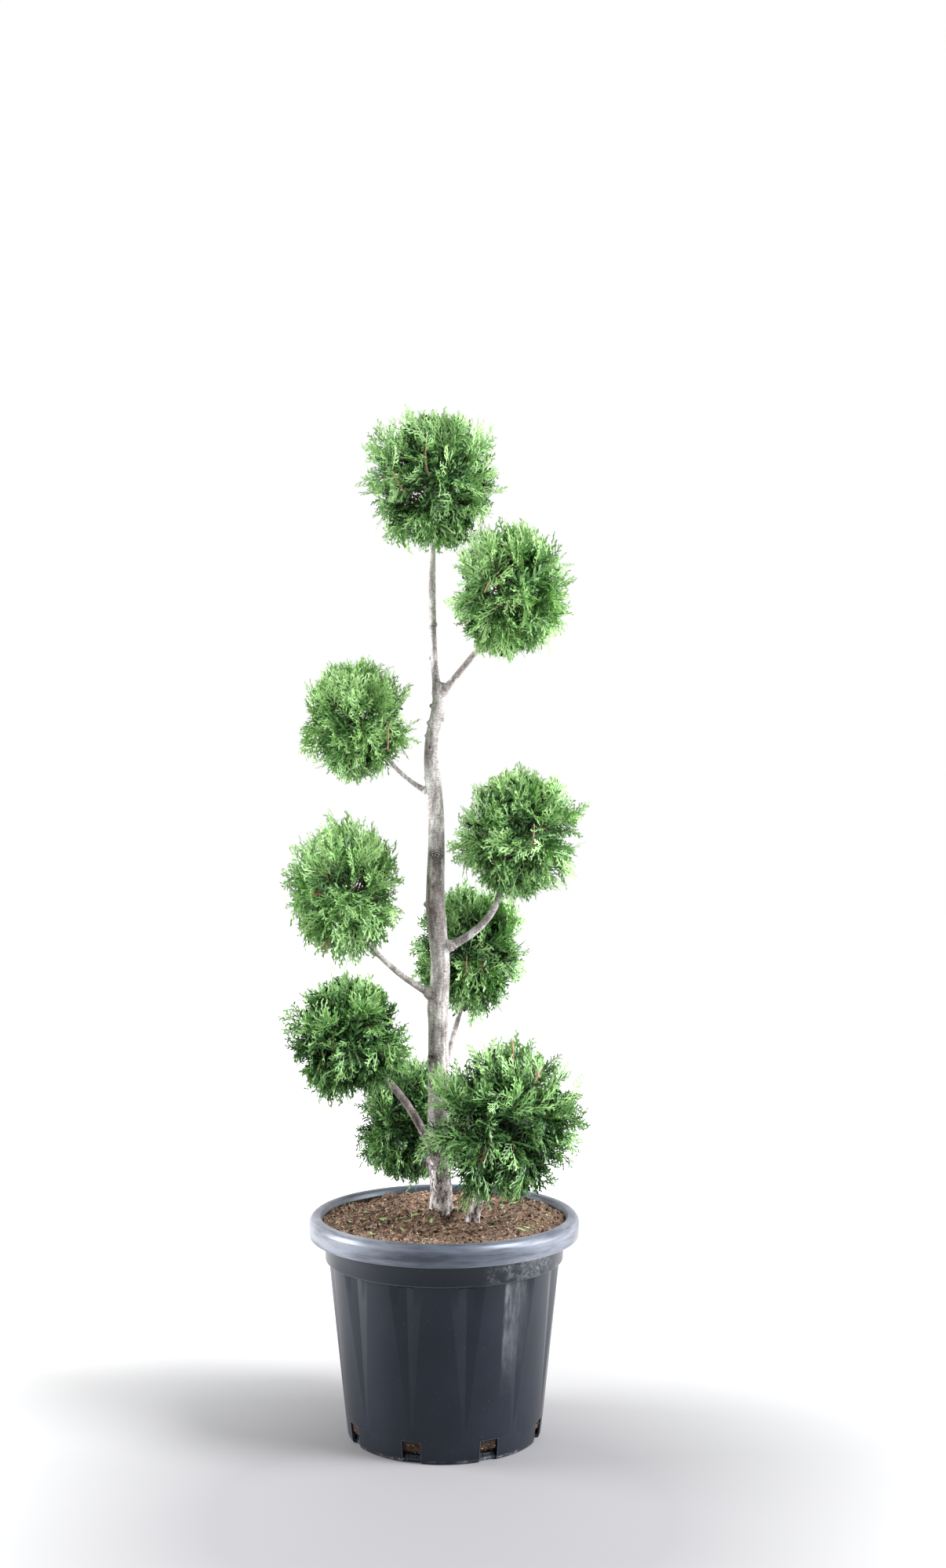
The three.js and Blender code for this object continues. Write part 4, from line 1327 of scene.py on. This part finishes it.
# %% The bark as a piece
skin.materials.clear()
skin.materials.append(bark)
skin.polygons.foreach_set("use_smooth", np.full(len(skin.polygons), True))
skin.polygons.foreach_set("material_index", np.zeros(len(skin.polygons), np.int32))
bark_skin = bpy.data.objects.new("bark_skin", skin)
bpy.context.scene.collection.objects.link(bark_skin)
solid_boughs = ["bough_" + name for name in BOUGHS if name not in ("top", "front_low")]
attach(bark_skin, "root")
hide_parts("trunk", "leader", "low_stem", *solid_boughs)
print("bark points:", count)

# %% [markdown]
# ## Twigs
# Inside each ball the stem divides again and again. As in the part's source, twigs leave in
# directions spread by the golden turn, so that they fill the ball evenly, and the same seed gives
# the same twigs. Here each of them carries on: it forks into finer side twigs, and those carry the
# sprays. All stay within the reach that the ball has in the source.

# %% How the source sets a ball's twigs
GOLDEN_TURN = math.pi * (3 - math.sqrt(5))
MAIN_TWIGS = 23
LEVEL_JITTER, TURN_JITTER, SHORTFALL = 0.08, 0.35, 0.03


def seeded(seed):
    """A stream of numbers from 0 to 1, the same on every run and the same as in the source."""
    state = seed

    def draw_one():
        nonlocal state
        state = (state * 1664525 + 1013904223) % 2 ** 32
        return state / 2 ** 32

    return draw_one


def reach_along(ball, directions):
    """How far the ball's sprays reach along directions from its middle."""
    reaches = np.where(np.asarray(directions) < 0, BALLS[ball][1], BALLS[ball][2])
    return 1 / np.linalg.norm(directions / reaches, axis=-1)


def main_directions(ball):
    """The directions, rolls and reaches of a ball's main twigs."""
    random = seeded(BALLS[ball][3])
    made = []
    for i in range(MAIN_TWIGS):
        level = 1 - 2 * i / (MAIN_TWIGS - 1) + LEVEL_JITTER * (random() - 0.5)
        z = min(1, max(-1, level))
        turn = i * GOLDEN_TURN + TURN_JITTER * (random() - 0.5)
        flat = math.sqrt(1 - z * z)
        direction = np.array([flat * math.cos(turn), flat * math.sin(turn), z])
        roll = random() * math.pi
        outer = reach_along(ball, direction) * (1 - SHORTFALL * random())
        made.append((direction, roll, outer))
    return made


def cross_ways(direction):
    """Two directions across the given one."""
    helper = np.array([0, 0, 1.0]) if abs(direction[2]) < 0.9 else np.array([1.0, 0, 0])
    first = unit(np.cross(direction, helper))
    return first, np.cross(direction, first)


print("main twigs:", len(main_directions("top")), "in each ball")

# %% [markdown]
# A main twig goes half of the way out. Six side twigs leave it, five opened wide and one almost
# straight on, and each is the middle line of one fan of sprays. Clipping makes most fans lean along
# the ball's skin, so that they overlap like shingles, and about a third still point straight out.

# %% Twigs and the lines of the fans
STEM_STEPS, TWIG_STEPS = 20, 8
MAIN_SHARE = 0.5
SIDE_TWIGS = 6
TWIG_SIDES, SIDE_TWIG_SIDES = 6, 4
RADIAL_SHARE = 0.3

twig_heap = Heap()
fans = {}  # for each ball, the lines that the sprays grow from, and the way across each fan
for ball, (middle, _down, _up, seed) in BALLS.items():
    middle = np.array(middle, float)
    stem, _stem_radii = mass_stem(ball, STEM_STEPS)
    onward = unit(stem[-1] - stem[0])
    draw = np.random.default_rng(seed)
    fans[ball] = []
    for direction, roll, outer in main_directions(ball):
        share = 0.45 + 0.55 * (0.5 + 0.5 * direction @ onward)  # twigs that go on leave later
        start = stem[int(round(share * STEM_STEPS))]
        tip = middle + direction * outer * MAIN_SHARE
        bend = start + unit(0.5 * onward + direction) * 0.5 * np.linalg.norm(tip - start)
        sway = draw.normal(0, 0.7, (TWIG_STEPS + 1, 3)) * np.linspace(0, 1, TWIG_STEPS + 1)[:, None]
        line = bend_line(start, bend, tip, TWIG_STEPS) + sway
        twig_heap.add(*tube(line, np.linspace(1.9, 1.0, TWIG_STEPS + 1), TWIG_SIDES), 0)
        first, second = cross_ways(direction)
        for j in range(SIDE_TWIGS):
            tilt = math.radians(draw.uniform(4, 12) if j == SIDE_TWIGS - 1 else draw.uniform(16, 40))
            around = roll + j * GOLDEN_TURN
            side = first * math.cos(around) + second * math.sin(around)
            way = unit(direction * math.cos(tilt) + math.sin(tilt) * side)
            # the fan leans along the ball's skin: up over the top half, more often down below
            lean_way = draw.normal(0, 0.75, 3)
            lean_way[2] += 0.8 if way[2] > 0.1 else -0.6
            lean_way = unit(lean_way - way * (lean_way @ way))
            radial = draw.uniform() < RADIAL_SHARE
            lean = math.radians(draw.uniform(0, 8) if radial else draw.uniform(14, 38))
            leant = unit(way * math.cos(lean) + lean_way * math.sin(lean))
            bend = middle + way * reach_along(ball, way) * 0.66
            end = middle + leant * reach_along(ball, leant) * draw.uniform(0.80, 0.97)
            fan_line = bend_line(line[2 + j], bend, end, TWIG_STEPS)
            twist = draw.uniform(0, 2 * math.pi) if radial else draw.normal(0, 0.45)
            side_way = unit(np.cross(way, lean_way))
            across = side_way * math.cos(twist) + np.cross(unit(end - bend), side_way) * math.sin(twist)
            woody = fan_line[:TWIG_STEPS - 1]  # the rest is green
            twig_heap.add(*tube(woody, np.linspace(0.95, 0.5, len(woody)), SIDE_TWIG_SIDES), 0)
            fans[ball].append((fan_line, across))
print("fans:", sum(len(lines) for lines in fans.values()))

# %% [markdown]
# A few bare shoots lost their sprays to the shears and dried to an orange brown. They stand near
# the surface, some in plain view: one upright on the front ball, one on the upper left ball, and a
# bent one under the upper right ball. Three more stand at random in each ball.

# %% Bare shoots
BARE_SHOOTS = [  # start, towards and tip in millimetres, and radius
    ((97, -118, 520), (97, -122, 555), (96, -122, 584), 1.9),
    ((-80, -36, 985), (-79, -42, 1005), (-79, -38, 1027), 1.4),
    ((40, -70, 1172), (24, -82, 1158), (14, -72, 1164), 0.8),
    ((58, -116, 1204), (60, -124, 1212), (66, -122, 1220), 1.2),
    ((34, 20, 662), (30, 8, 672), (33, 4, 688), 1.2),
    ((-20, -60, 1372), (-28, -72, 1392), (-24, -70, 1412), 1.1),
    ((-54, -50, 1350), (-66, -62, 1362), (-70, -60, 1378), 1.0),
    ((-150, -100, 560), (-156, -112, 575), (-152, -108, 590), 1.0),
    ((120, -100, 850), (128, -108, 866), (126, -104, 884), 1.1)]
MORE_SHOOTS = 3

for start, towards, tip, radius in BARE_SHOOTS:
    line = bend_line(start, towards, tip, TWIG_STEPS)
    twig_heap.add(*tube(line, np.linspace(radius, radius * 0.6, len(line)), TWIG_SIDES), 1)
for ball, (middle, _down, _up, seed) in BALLS.items():
    draw = np.random.default_rng(seed + 500)
    middle = np.array(middle)
    for _ in range(MORE_SHOOTS):
        way = unit(draw.normal(size=3))
        outer = reach_along(ball, way)
        start = middle + way * outer * 0.62
        tip = middle + unit(way + draw.normal(0, 0.22, 3)) * outer * draw.uniform(0.86, 0.97)
        bend = (start + tip) / 2 + draw.normal(0, 3, 3)
        shoot = tube(bend_line(start, bend, tip, 6), np.linspace(0.7, 0.4, 7), 5)
        twig_heap.add(*shoot, int(draw.choice([0, 0, 1])))
print("bare shoots:", len(BARE_SHOOTS), "placed and", MORE_SHOOTS * len(BALLS), "at random")

# %% The twigs as a piece
def twig_material(name, dark, light):
    """Smooth young bark between two shades."""
    material, shader = new_material(name, light, 0.7)
    place = own_place(material)
    shade = ramp(material, noise_at(material, place, 240, 3), [(0.35, dark), (0.65, light)])
    link(material, shade, shader.inputs["Base Color"])
    bump(material, shader, noise_at(material, place, 1200, 3), 0.4, 0.0004)
    return material


twig_bark = twig_material("twig_bark", (0.070, 0.045, 0.028), (0.190, 0.125, 0.080))
bare_shoot_bark = twig_material("bare_shoot_bark", (0.110, 0.058, 0.034), (0.400, 0.225, 0.130))
twigs = twig_heap.piece("twigs", [twig_bark, bare_shoot_bark], smooth=True)
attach(twigs, "root")
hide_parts(*("foliage_" + name for name in BALLS))

# %% [markdown]
# ## Sprays
# An arborvitae has no needles. Its leaves are tiny scales pressed flat on the shoots, and the shoots
# branch alternately in one plane into a flat, fern-like spray. At this size each shoot reads as a
# narrow strip that keeps its width and ends bluntly. So a spray is drawn as a fan of such strips, a
# few triangles each, in several lengths with shoots of the same real width. A strip's two sides lie
# at unlike heights, so that some strips catch the light and others don't, and each is a shade
# lighter or darker than the next. Then the spray is bent, cupped and dealt out in thousands.

# %% One shoot as a strip
def way_at(angle):
    """The direction in the plane at an angle from the spray's axis."""
    return np.array([math.sin(angle), math.cos(angle)])


def strip(line, half_widths, lift, lean):
    """A flat strip along a line in the plane, closed by a tip. Its two sides lie at unlike heights."""
    line = np.asarray(line, float)
    ways = unit(np.gradient(line, axis=0))
    sideways = np.stack([-ways[:, 1], ways[:, 0]], 1)
    points = []
    for place, side, half, rise in zip(line[:-1], sideways[:-1], half_widths, lift[:-1]):
        points += [(*(place - side * half), rise - lean * half), (*(place + side * half), rise + lean * half)]
    points.append((*line[-1], lift[-1]))
    faces = []
    for row in range(len(line) - 2):
        a = 2 * row
        faces += [(a, a + 3, a + 1), (a, a + 2, a + 3)]
    end = 2 * (len(line) - 2)
    faces.append((end, end + 2, end + 1))
    return np.array(points), np.array(faces)


_points, example_faces = strip([(0, 0), (0, 1), (0, 2)], [1, 1], [0, 0, 0], 0)
print("triangles of a shoot with three places:", len(example_faces))

# %% One spray as a fan of shoots
SHOOT_HALF_WIDTH = 0.84
SHOOT_SPACING, TWIGLET_SPACING = 3.8, 5.0
BLUNT = 0.68  # a shoot keeps its width this far along
SHADE_SPREAD = 1.1
PLAIN_WIDER, PLAIN_SPARSER = 1.7, 1.3


def spray_shape(length, seed, plain=False):
    """One flat spray: points, triangles, how far out each triangle lies, and its shoot's shade.

    A plain one has no twiglets.
    """
    draw = np.random.default_rng(seed)
    points, faces, outs, shades, count = [], [], [], [], 0

    def put(line, half_widths, lift, lean):
        """Adds one shoot to the spray."""
        nonlocal count
        strip_points, strip_faces = strip(line, half_widths, lift, lean)
        points.append(strip_points)
        faces.append(strip_faces + count)
        count += len(strip_points)
        far_out = max(abs(line[-1][0]) * 1.5, line[-1][1]) / length
        outs.append(np.full(len(strip_faces), far_out))
        shades.append(np.full(len(strip_faces), draw.normal(0, SHADE_SPREAD)))

    half_width = SHOOT_HALF_WIDTH * (PLAIN_WIDER if plain else 1)
    sway = np.cumsum(draw.normal(0, 0.012 * length, 5))
    axis_y = np.linspace(0, length, 5)
    put(np.stack([sway, axis_y], 1), half_width * np.array([0.8, 1, 1, 0.95]), np.zeros(5), 0.1)
    side = draw.choice([-1, 1])
    y = 0.10 * length
    while y < 0.93 * length:
        # shoots are longest a quarter of the way up, and curve towards the tip
        share = y / length
        reach = length * (0.47 * (1 - share) ** 0.75 * min(1, 0.5 + share * 2.2) + 0.06)
        reach *= draw.uniform(0.82, 1.18)
        angle = math.radians(draw.uniform(37, 49) - 10 * share)
        curve = math.radians(draw.uniform(4, 12))
        way_out, way_end = way_at(side * angle), way_at(side * (angle - 2 * curve))
        root = np.array([np.interp(y, axis_y, sway), y])
        tip = root + reach * (way_out * BLUNT + way_end * (1 - BLUNT))
        line = [root, root + way_out * reach * BLUNT, tip]
        tilt = draw.normal(0, 0.10) - 0.05
        lift = reach * tilt * np.array([0, BLUNT, 1])
        put(line, [0.85 * half_width, half_width], lift, draw.uniform(-0.5, 0.5))

        small = side * draw.choice([-1, 1])
        at = 0.30 * reach
        while at < 0.85 * reach and not plain:
            foot = root + way_out * min(at, BLUNT * reach) + way_end * max(0, at - BLUNT * reach)
            small_reach = min(10.0, 0.36 * reach * (1.15 - at / reach) + 2.6) * draw.uniform(0.8, 1.2)
            small_way = way_at((angle - curve) * side + small * math.radians(draw.uniform(25, 36)))
            small_line = [foot, foot + small_way * small_reach * BLUNT, foot + small_way * small_reach]
            lift = at * tilt + np.array([0, 0.2, 0.5]) * draw.normal(0, 0.8)
            put(small_line, [0.5 * SHOOT_HALF_WIDTH, 0.8 * SHOOT_HALF_WIDTH], lift, draw.uniform(-0.5, 0.5))
            small = -small
            at += TWIGLET_SPACING * draw.uniform(0.85, 1.2)
        side = -side
        y += SHOOT_SPACING * draw.uniform(0.85, 1.15) * (PLAIN_SPARSER if plain else 1)
    return np.concatenate(points), np.concatenate(faces), np.concatenate(outs), np.concatenate(shades)


# %% The sprays that are dealt out
VARIANTS = 4
SPRAY_LENGTHS = [14, 20, 27, 35, 43]
PLAIN_LENGTH = 36

spray_shapes = [[spray_shape(length, 100 * i + variant) for variant in range(VARIANTS)]
                for i, length in enumerate(SPRAY_LENGTHS)]
plain_shapes = [spray_shape(PLAIN_LENGTH, 900 + variant, plain=True) for variant in range(VARIANTS)]
print("triangles per spray:", [len(kinds[0][1]) for kinds in spray_shapes], "plain:", len(plain_shapes[0][1]))

# %% [markdown]
# Light falls from above, so the outer ends of a spray and the top of a ball are painted a fresh
# yellow green, as painted light, and what lies deeper is painted dark, as painted shade. Real leaves do
# the same in part by age: new growth is light, old growth deep green. The greens are therefore plain
# colours dealt out by spray, with the tips one step lighter.

# %% The greens
LEAF_GREENS = {
    "leaf_deep": (0.009, 0.028, 0.008), "leaf_old": (0.026, 0.080, 0.019),
    "leaf_shade": (0.062, 0.170, 0.042), "leaf_mid": (0.122, 0.288, 0.076),
    "leaf_fresh": (0.185, 0.392, 0.112), "leaf_light": (0.255, 0.480, 0.158),
    "leaf_tip": (0.350, 0.560, 0.205), "leaf_dry": (0.220, 0.115, 0.050)}
FRESH, TIP, DRY = (list(LEAF_GREENS).index("leaf_" + name) for name in ("fresh", "tip", "dry"))


def leaf_material(name, colour):
    """A waxy scale leaf in one green. The two darkest, deep in the ball, hardly shine."""
    material, shader = new_material(name, colour, 0.5)
    place = own_place(material)
    shader.inputs["Specular IOR Level"].default_value = 0.2 if name in ("leaf_deep", "leaf_old") else 0.55
    waxy = graded(material, noise_at(material, place, 300, 2), 0, 1, 0.32, 0.55)
    link(material, waxy, shader.inputs["Roughness"])
    bump(material, shader, noise_at(material, place, 900, 3), 0.5, 0.0006)
    return material


leaf_materials = [leaf_material(name, colour) for name, colour in LEAF_GREENS.items()]
print("leaf finishes:", len(leaf_materials))

# %% [markdown]
# Each fan carries nine sprays, in turn on its left and right, and one straight on at its end. The
# shears cut them to the ball's outline, so each grows until it meets the outline times a share of
# its own, which keeps the ball's edge lively. The balls stand clear of each other and of the trunk,
# so no spray has to be left out there.

# %% How far a spray may grow
OUTLINE_WITHIN = 140.0
HALVINGS = 18


def fills(ball, points):
    """How far out in a ball points lie: 1 on its outline."""
    away = points - np.array(BALLS[ball][0], float)
    return np.linalg.norm(away / np.where(away < 0, BALLS[ball][1], BALLS[ball][2]), axis=-1)


def length_to_outline(ball, roots, ways, share):
    """How far along its way each spray meets the ball's outline times its share."""
    low, high = np.zeros(len(roots)), np.full(len(roots), OUTLINE_WITHIN)
    for _ in range(HALVINGS):
        half = (low + high) / 2
        inside = fills(ball, roots + ways * half[:, None]) < share
        low, high = np.where(inside, half, low), np.where(inside, high, half)
    return low


print("outlines are met to within", OUTLINE_WITHIN / 2 ** HALVINGS, "mm")

# %% [markdown]
# Clipped balls aren't perfect. A tuft stands out here and there where the shears missed it, and one
# place is cut back a little. Those that show on the balls' outlines are placed one by one.

# %% Tufts that stand out
STRAYS = {  # places across and up from the ball's middle, and the share of the outline that they reach
    "top": [
        (0.75, 0.66, 1.12), (-0.85, 0.5, 1.12), (-0.6, -0.8, 1.12), (-1.0, -0.05, 1.12), (-0.9, -0.4, 1.09)],
    "upper_right": [
        (0.97, 0.2, 1.12), (-0.5, -0.87, 1.1), (0.3, -0.95, 0.92), (0.8, -0.6, 1.12), (-0.97, 0.2, 1.12),
        (-0.93, -0.3, 1.1)],
    "left_high": [(-0.9, -0.4, 1.12), (0.3, 0.95, 1.12), (0.97, 0.2, 1.12), (0.93, -0.3, 1.12)],
    "right_middle": [(0.64, -0.77, 1.12), (0.95, 0.3, 1.12), (-0.95, 0.3, 1.16), (-1.0, -0.1, 1.12)],
    "left_middle": [(0.2, -0.98, 1.12), (-0.95, 0.3, 1.12), (-0.8, -0.6, 1.12), (0.1, 1.0, 1.12)],
    "back_middle": [(0.2, -0.98, 1.12), (0.97, -0.2, 1.12), (0.9, 0.4, 1.12)],
    "left_low": [(-0.25, -0.97, 1.12), (0.1, -0.99, 1.12), (-0.9, 0.45, 1.12)],
    "back_low": [(-0.95, -0.3, 1.12)],
    "front_low": [
        (0.99, 0.05, 1.12), (0.75, 0.66, 1.12), (-0.1, 1.0, 1.12), (-0.97, -0.2, 1.22), (-1.0, 0.1, 1.22),
        (-0.94, 0.34, 1.2), (-0.84, -0.52, 1.28), (-0.64, -0.75, 1.3)]}
STRAY_FORWARD = -0.15  # tufts on the outline lie a little to the front
STRAY_NEAR = 0.955  # the cosine within which a fan belongs to the tuft
print("tufts:", sum(len(places) for places in STRAYS.values()))

# %% Sprays along the fans
FAN_SPRAYS = 9
LONGEST, SHORTEST = 44, 13


def across_ways(vectors, ways):
    """The part of each vector that lies across its way, one long."""
    return unit(vectors - ways * (vectors * ways).sum(1, keepdims=True))


def outer_sprays(ball, draw):
    """The sprays along a ball's fans, as arrays by name."""
    middle = np.array(BALLS[ball][0], float)
    lines = np.array([line for line, _across in fans[ball]])
    crossing = np.array([across for _line, across in fans[ball]])
    fan_count, steps = len(lines), lines.shape[1] - 1
    fan = np.repeat(np.arange(fan_count), FAN_SPRAYS)
    order = np.tile(np.arange(FAN_SPRAYS), fan_count)
    count = len(fan)
    last = order == FAN_SPRAYS - 1
    at = 0.22 + 0.76 * order / (FAN_SPRAYS - 1) + draw.uniform(-0.03, 0.03, count)
    at = np.where(last, 1.0, at)
    foot = np.minimum((at * steps).astype(int), steps - 1)
    part = (at * steps - foot)[:, None]
    roots = lines[fan, foot] * (1 - part) + lines[fan, foot + 1] * part
    along = unit(lines[fan, foot + 1] - lines[fan, foot])
    outward = unit(roots - middle)
    sideways = across_ways(crossing[fan], along)
    side = np.where((order + fan) % 2 == 0, 1, -1)
    nearly_straight, opened = draw.normal(0, 0.08, count), side * np.radians(draw.uniform(27, 44, count))
    opening = np.where(last, nearly_straight, opened)[:, None]
    ways = unit(along * np.cos(opening) + sideways * np.sin(opening) + draw.normal(0, 0.10, (count, 3)))

    share = 1 + draw.uniform(-0.13, 0.06, fan_count) + 0.07 * (draw.uniform(size=fan_count) < 0.12)
    fan_ways = unit(lines[:, -1] - middle)
    for stray_x, stray_z, stray_share in STRAYS[ball]:
        share[fan_ways @ unit((stray_x, STRAY_FORWARD, stray_z)) > STRAY_NEAR] = stray_share
    share = share[fan] + draw.uniform(-0.04, 0.03, count)
    wanted = np.where(last, 34, 38 * (1.05 - 0.42 * at)) * draw.uniform(0.8, 1.15, count)
    wanted *= np.where(share > 1.17, 1.3, 1)
    lengths = np.minimum(length_to_outline(ball, roots, ways, share), wanted)
    roots = roots - ways * np.maximum(0, SHORTEST - lengths)[:, None]
    return {"fan": fan, "roots": roots, "ways": ways, "outward": outward,
            "facing": np.cross(sideways, along), "lengths": lengths}


# %% Older sprays that close a ball's inside
INNER_SPRAYS = {
    "top": 480, "upper_right": 400, "left_high": 240, "right_middle": 320, "left_middle": 200,
    "back_middle": 400, "left_low": 520, "back_low": 520, "front_low": 680}
INNER_OUTLINE = 0.93


def inner_sprays(ball, draw):
    """Sprays lower on the fans that lie across the way out, as arrays by name."""
    lines = np.array([line for line, _across in fans[ball]])
    count = INNER_SPRAYS[ball]
    fan = draw.integers(len(lines), size=count)
    roots = lines[fan, draw.integers(1, 5, size=count)]
    outward = unit(roots - np.array(BALLS[ball][0], float))
    ways = across_ways(draw.normal(size=(count, 3)), outward)
    ways = unit(ways + outward * draw.uniform(0.1, 0.7, (count, 1)))
    lengths = np.minimum(length_to_outline(ball, roots, ways, INNER_OUTLINE), draw.uniform(28, 44, count))
    return {"fan": fan, "roots": roots, "ways": ways, "outward": outward,
            "facing": outward, "lengths": lengths}


print("inner sprays:", sum(INNER_SPRAYS.values()))

# %% [markdown]
# A spray's light, its painted light and shade, is its place in the row of greens. It rises towards
# the outside and the top, each fan and each spray has its own, and each ball is painted as light as it
# stands to the lamps. A few old sprays inside have dried to brown.

# %% How light each spray is
BALL_LIGHT = {
    "top": 0.95, "upper_right": 1.6, "left_high": 1.75, "right_middle": 0.95, "left_middle": 1.4,
    "back_middle": 0.2, "left_low": -0.3, "back_low": -0.6, "front_low": -0.5}
LIGHT_LIMITS = (-0.4, 4.7)
DRY_SHARE = 0.007


def spray_light(ball, sprays, depth, draw):
    """The light of every spray, and which of them are dry."""
    count, inner_count = len(depth), INNER_SPRAYS[ball]
    of_fan = draw.normal(0, 0.5, len(fans[ball]))[sprays["fan"]]
    own = draw.normal(0, 0.65, count)
    # painted light and shade: lighter towards the ball's outline and top, and by ball
    light = BALL_LIGHT[ball] + 0.5 + 3.7 * (depth - 0.6) / 0.4 + sprays["outward"][:, 2] + of_fan + own
    # the inner sprays are dark, partly as old growth and partly as painted shade
    light[-inner_count:] = draw.uniform(-0.9, 1.0, inner_count) + max(0, BALL_LIGHT[ball])
    is_dry = (draw.uniform(size=count) < DRY_SHARE) & (depth < 0.80)
    return np.clip(light, *LIGHT_LIMITS), is_dry


# %% Sprays dealt out over each ball
def grow_sprays(ball):
    """The joined sprays of one ball."""
    draw = np.random.default_rng(BALLS[ball][3] + 9000)
    outer, inner = outer_sprays(ball, draw), inner_sprays(ball, draw)
    sprays = {key: np.concatenate([outer[key], inner[key]]) for key in outer}
    roots, ways, outward, facing = (sprays[key] for key in ("roots", "ways", "outward", "facing"))
    lengths = np.clip(sprays["lengths"], SHORTEST, LONGEST)
    count = len(roots)

    facing = facing * np.where((facing * outward).sum(1, keepdims=True) < 0, -1, 1)
    facing = across_ways(facing + draw.normal(0, 0.16, (count, 3)), ways)
    across = np.cross(ways, facing)
    bends = draw.uniform(-0.30, 0.10, count)
    # above the ball's middle the tips rise, below it they hang
    hangs = np.clip(outward[:, 2] * 1.6 + 0.1, -1, 1) * draw.uniform(0.05, 0.38, count)
    depth = fills(ball, roots + ways * lengths[:, None] * 0.6)
    light, is_dry = spray_light(ball, sprays, depth, draw)

    kind = np.abs(np.array(SPRAY_LENGTHS)[None] - lengths[:, None]).argmin(1)
    kind[-len(inner["roots"]):] = len(SPRAY_LENGTHS)  # the plain ones
    variant = draw.integers(VARIANTS, size=count)
    kinds = [*zip(SPRAY_LENGTHS, spray_shapes), (PLAIN_LENGTH, plain_shapes)]
    heap = Heap()
    for i, (full_length, shapes) in enumerate(kinds):
        for j, (shape, faces, outs, shades) in enumerate(shapes):
            chosen = (kind == i) & (variant == j)
            if not chosen.any():
                continue
            size = lengths[chosen][:, None]
            x, y, z = (shape[:, axis] * (size / full_length) for axis in range(3))
            z = z + bends[chosen][:, None] * y ** 2 / size - 0.30 * x ** 2 / size
            points = (roots[chosen][:, None] + x[..., None] * across[chosen][:, None]
                      + y[..., None] * ways[chosen][:, None] + z[..., None] * facing[chosen][:, None])
            points[..., 2] += hangs[chosen][:, None] * y ** 2 / size
            # painted light and shade: tips a step lighter, spray feet a step darker
            tones = light[chosen][:, None] + (outs > 0.80)[None] - (outs < 0.35)[None] + shades[None]
            tones = np.clip(np.round(tones), 0, TIP).astype(int)
            heap.add(points, faces, np.where(is_dry[chosen][:, None], DRY, tones))
    print(ball, "has", count, "sprays")
    return heap.piece("sprays_" + ball, leaf_materials)


for ball in BALLS:
    sprays = grow_sprays(ball)
    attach(sprays, "root")
    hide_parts("foliage_" + ball)

# %% [markdown]
# The last trim also dropped clippings on the peat. They are small sprays that lie flat, a little
# lighter than the rest, since they are tips. Those that show at the front are placed, the others
# lie at random, clear of the two stems.

# %% Clippings on the peat
PLACED_CLIPPINGS = [  # place and length
    (-49, 4, 22), (-18, -43, 18), (96, 73, 14), (116, -88, 16), (-122, 19, 20), (-92, -18, 30),
    (-70, -70, 12)]
CLIPPING_COUNT = 26
CLIPPINGS_REACH = 165
KEEP_OFF = [(TRUNK_FOOT, 26), (STEM_FOOT, 22)]
LIFT = 2.8  # over the peat's height, so that crumbs lie under them

draw = np.random.default_rng(77)
places = list(PLACED_CLIPPINGS)
while len(places) < CLIPPING_COUNT:
    x, y, _z = polar(draw.uniform(0, 360), CLIPPINGS_REACH * math.sqrt(draw.uniform()), 0)
    if all(math.dist((x, y), foot) > distance for foot, distance in KEEP_OFF):
        places.append((x, y, draw.uniform(8, 18)))
clipping_heap = Heap()
for x, y, length in places:
    shape, faces, outs, _shades = spray_shapes[0][draw.integers(VARIANTS)]
    heading = draw.uniform(0, 2 * math.pi)
    stretch = length / SPRAY_LENGTHS[0]
    along, over = shape[:, 1] * stretch, shape[:, 0] * stretch
    px = x + along * math.cos(heading) - over * math.sin(heading)
    py = y + along * math.sin(heading) + over * math.cos(heading)
    pz = [peat_height(a, b) + LIFT for a, b in zip(px, py)] + shape[:, 2] + 0.1 * along
    green = int(draw.choice([FRESH, FRESH + 1]))
    clipping_heap.add(np.stack([px, py, pz], 1), faces, np.where(outs > 0.6, TIP, green))
clippings = clipping_heap.piece("clippings", leaf_materials)
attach(clippings, "root")

# %% [markdown]
# ## Sizes
# The dressed model has to keep the CAD model's size, so both boxes are printed.


visual_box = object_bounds()
for name, corners in (("CAD", cad_box), ("visual", visual_box)):
    print(name, "box:", [[round(value, 4) for value in corner] for corner in corners])
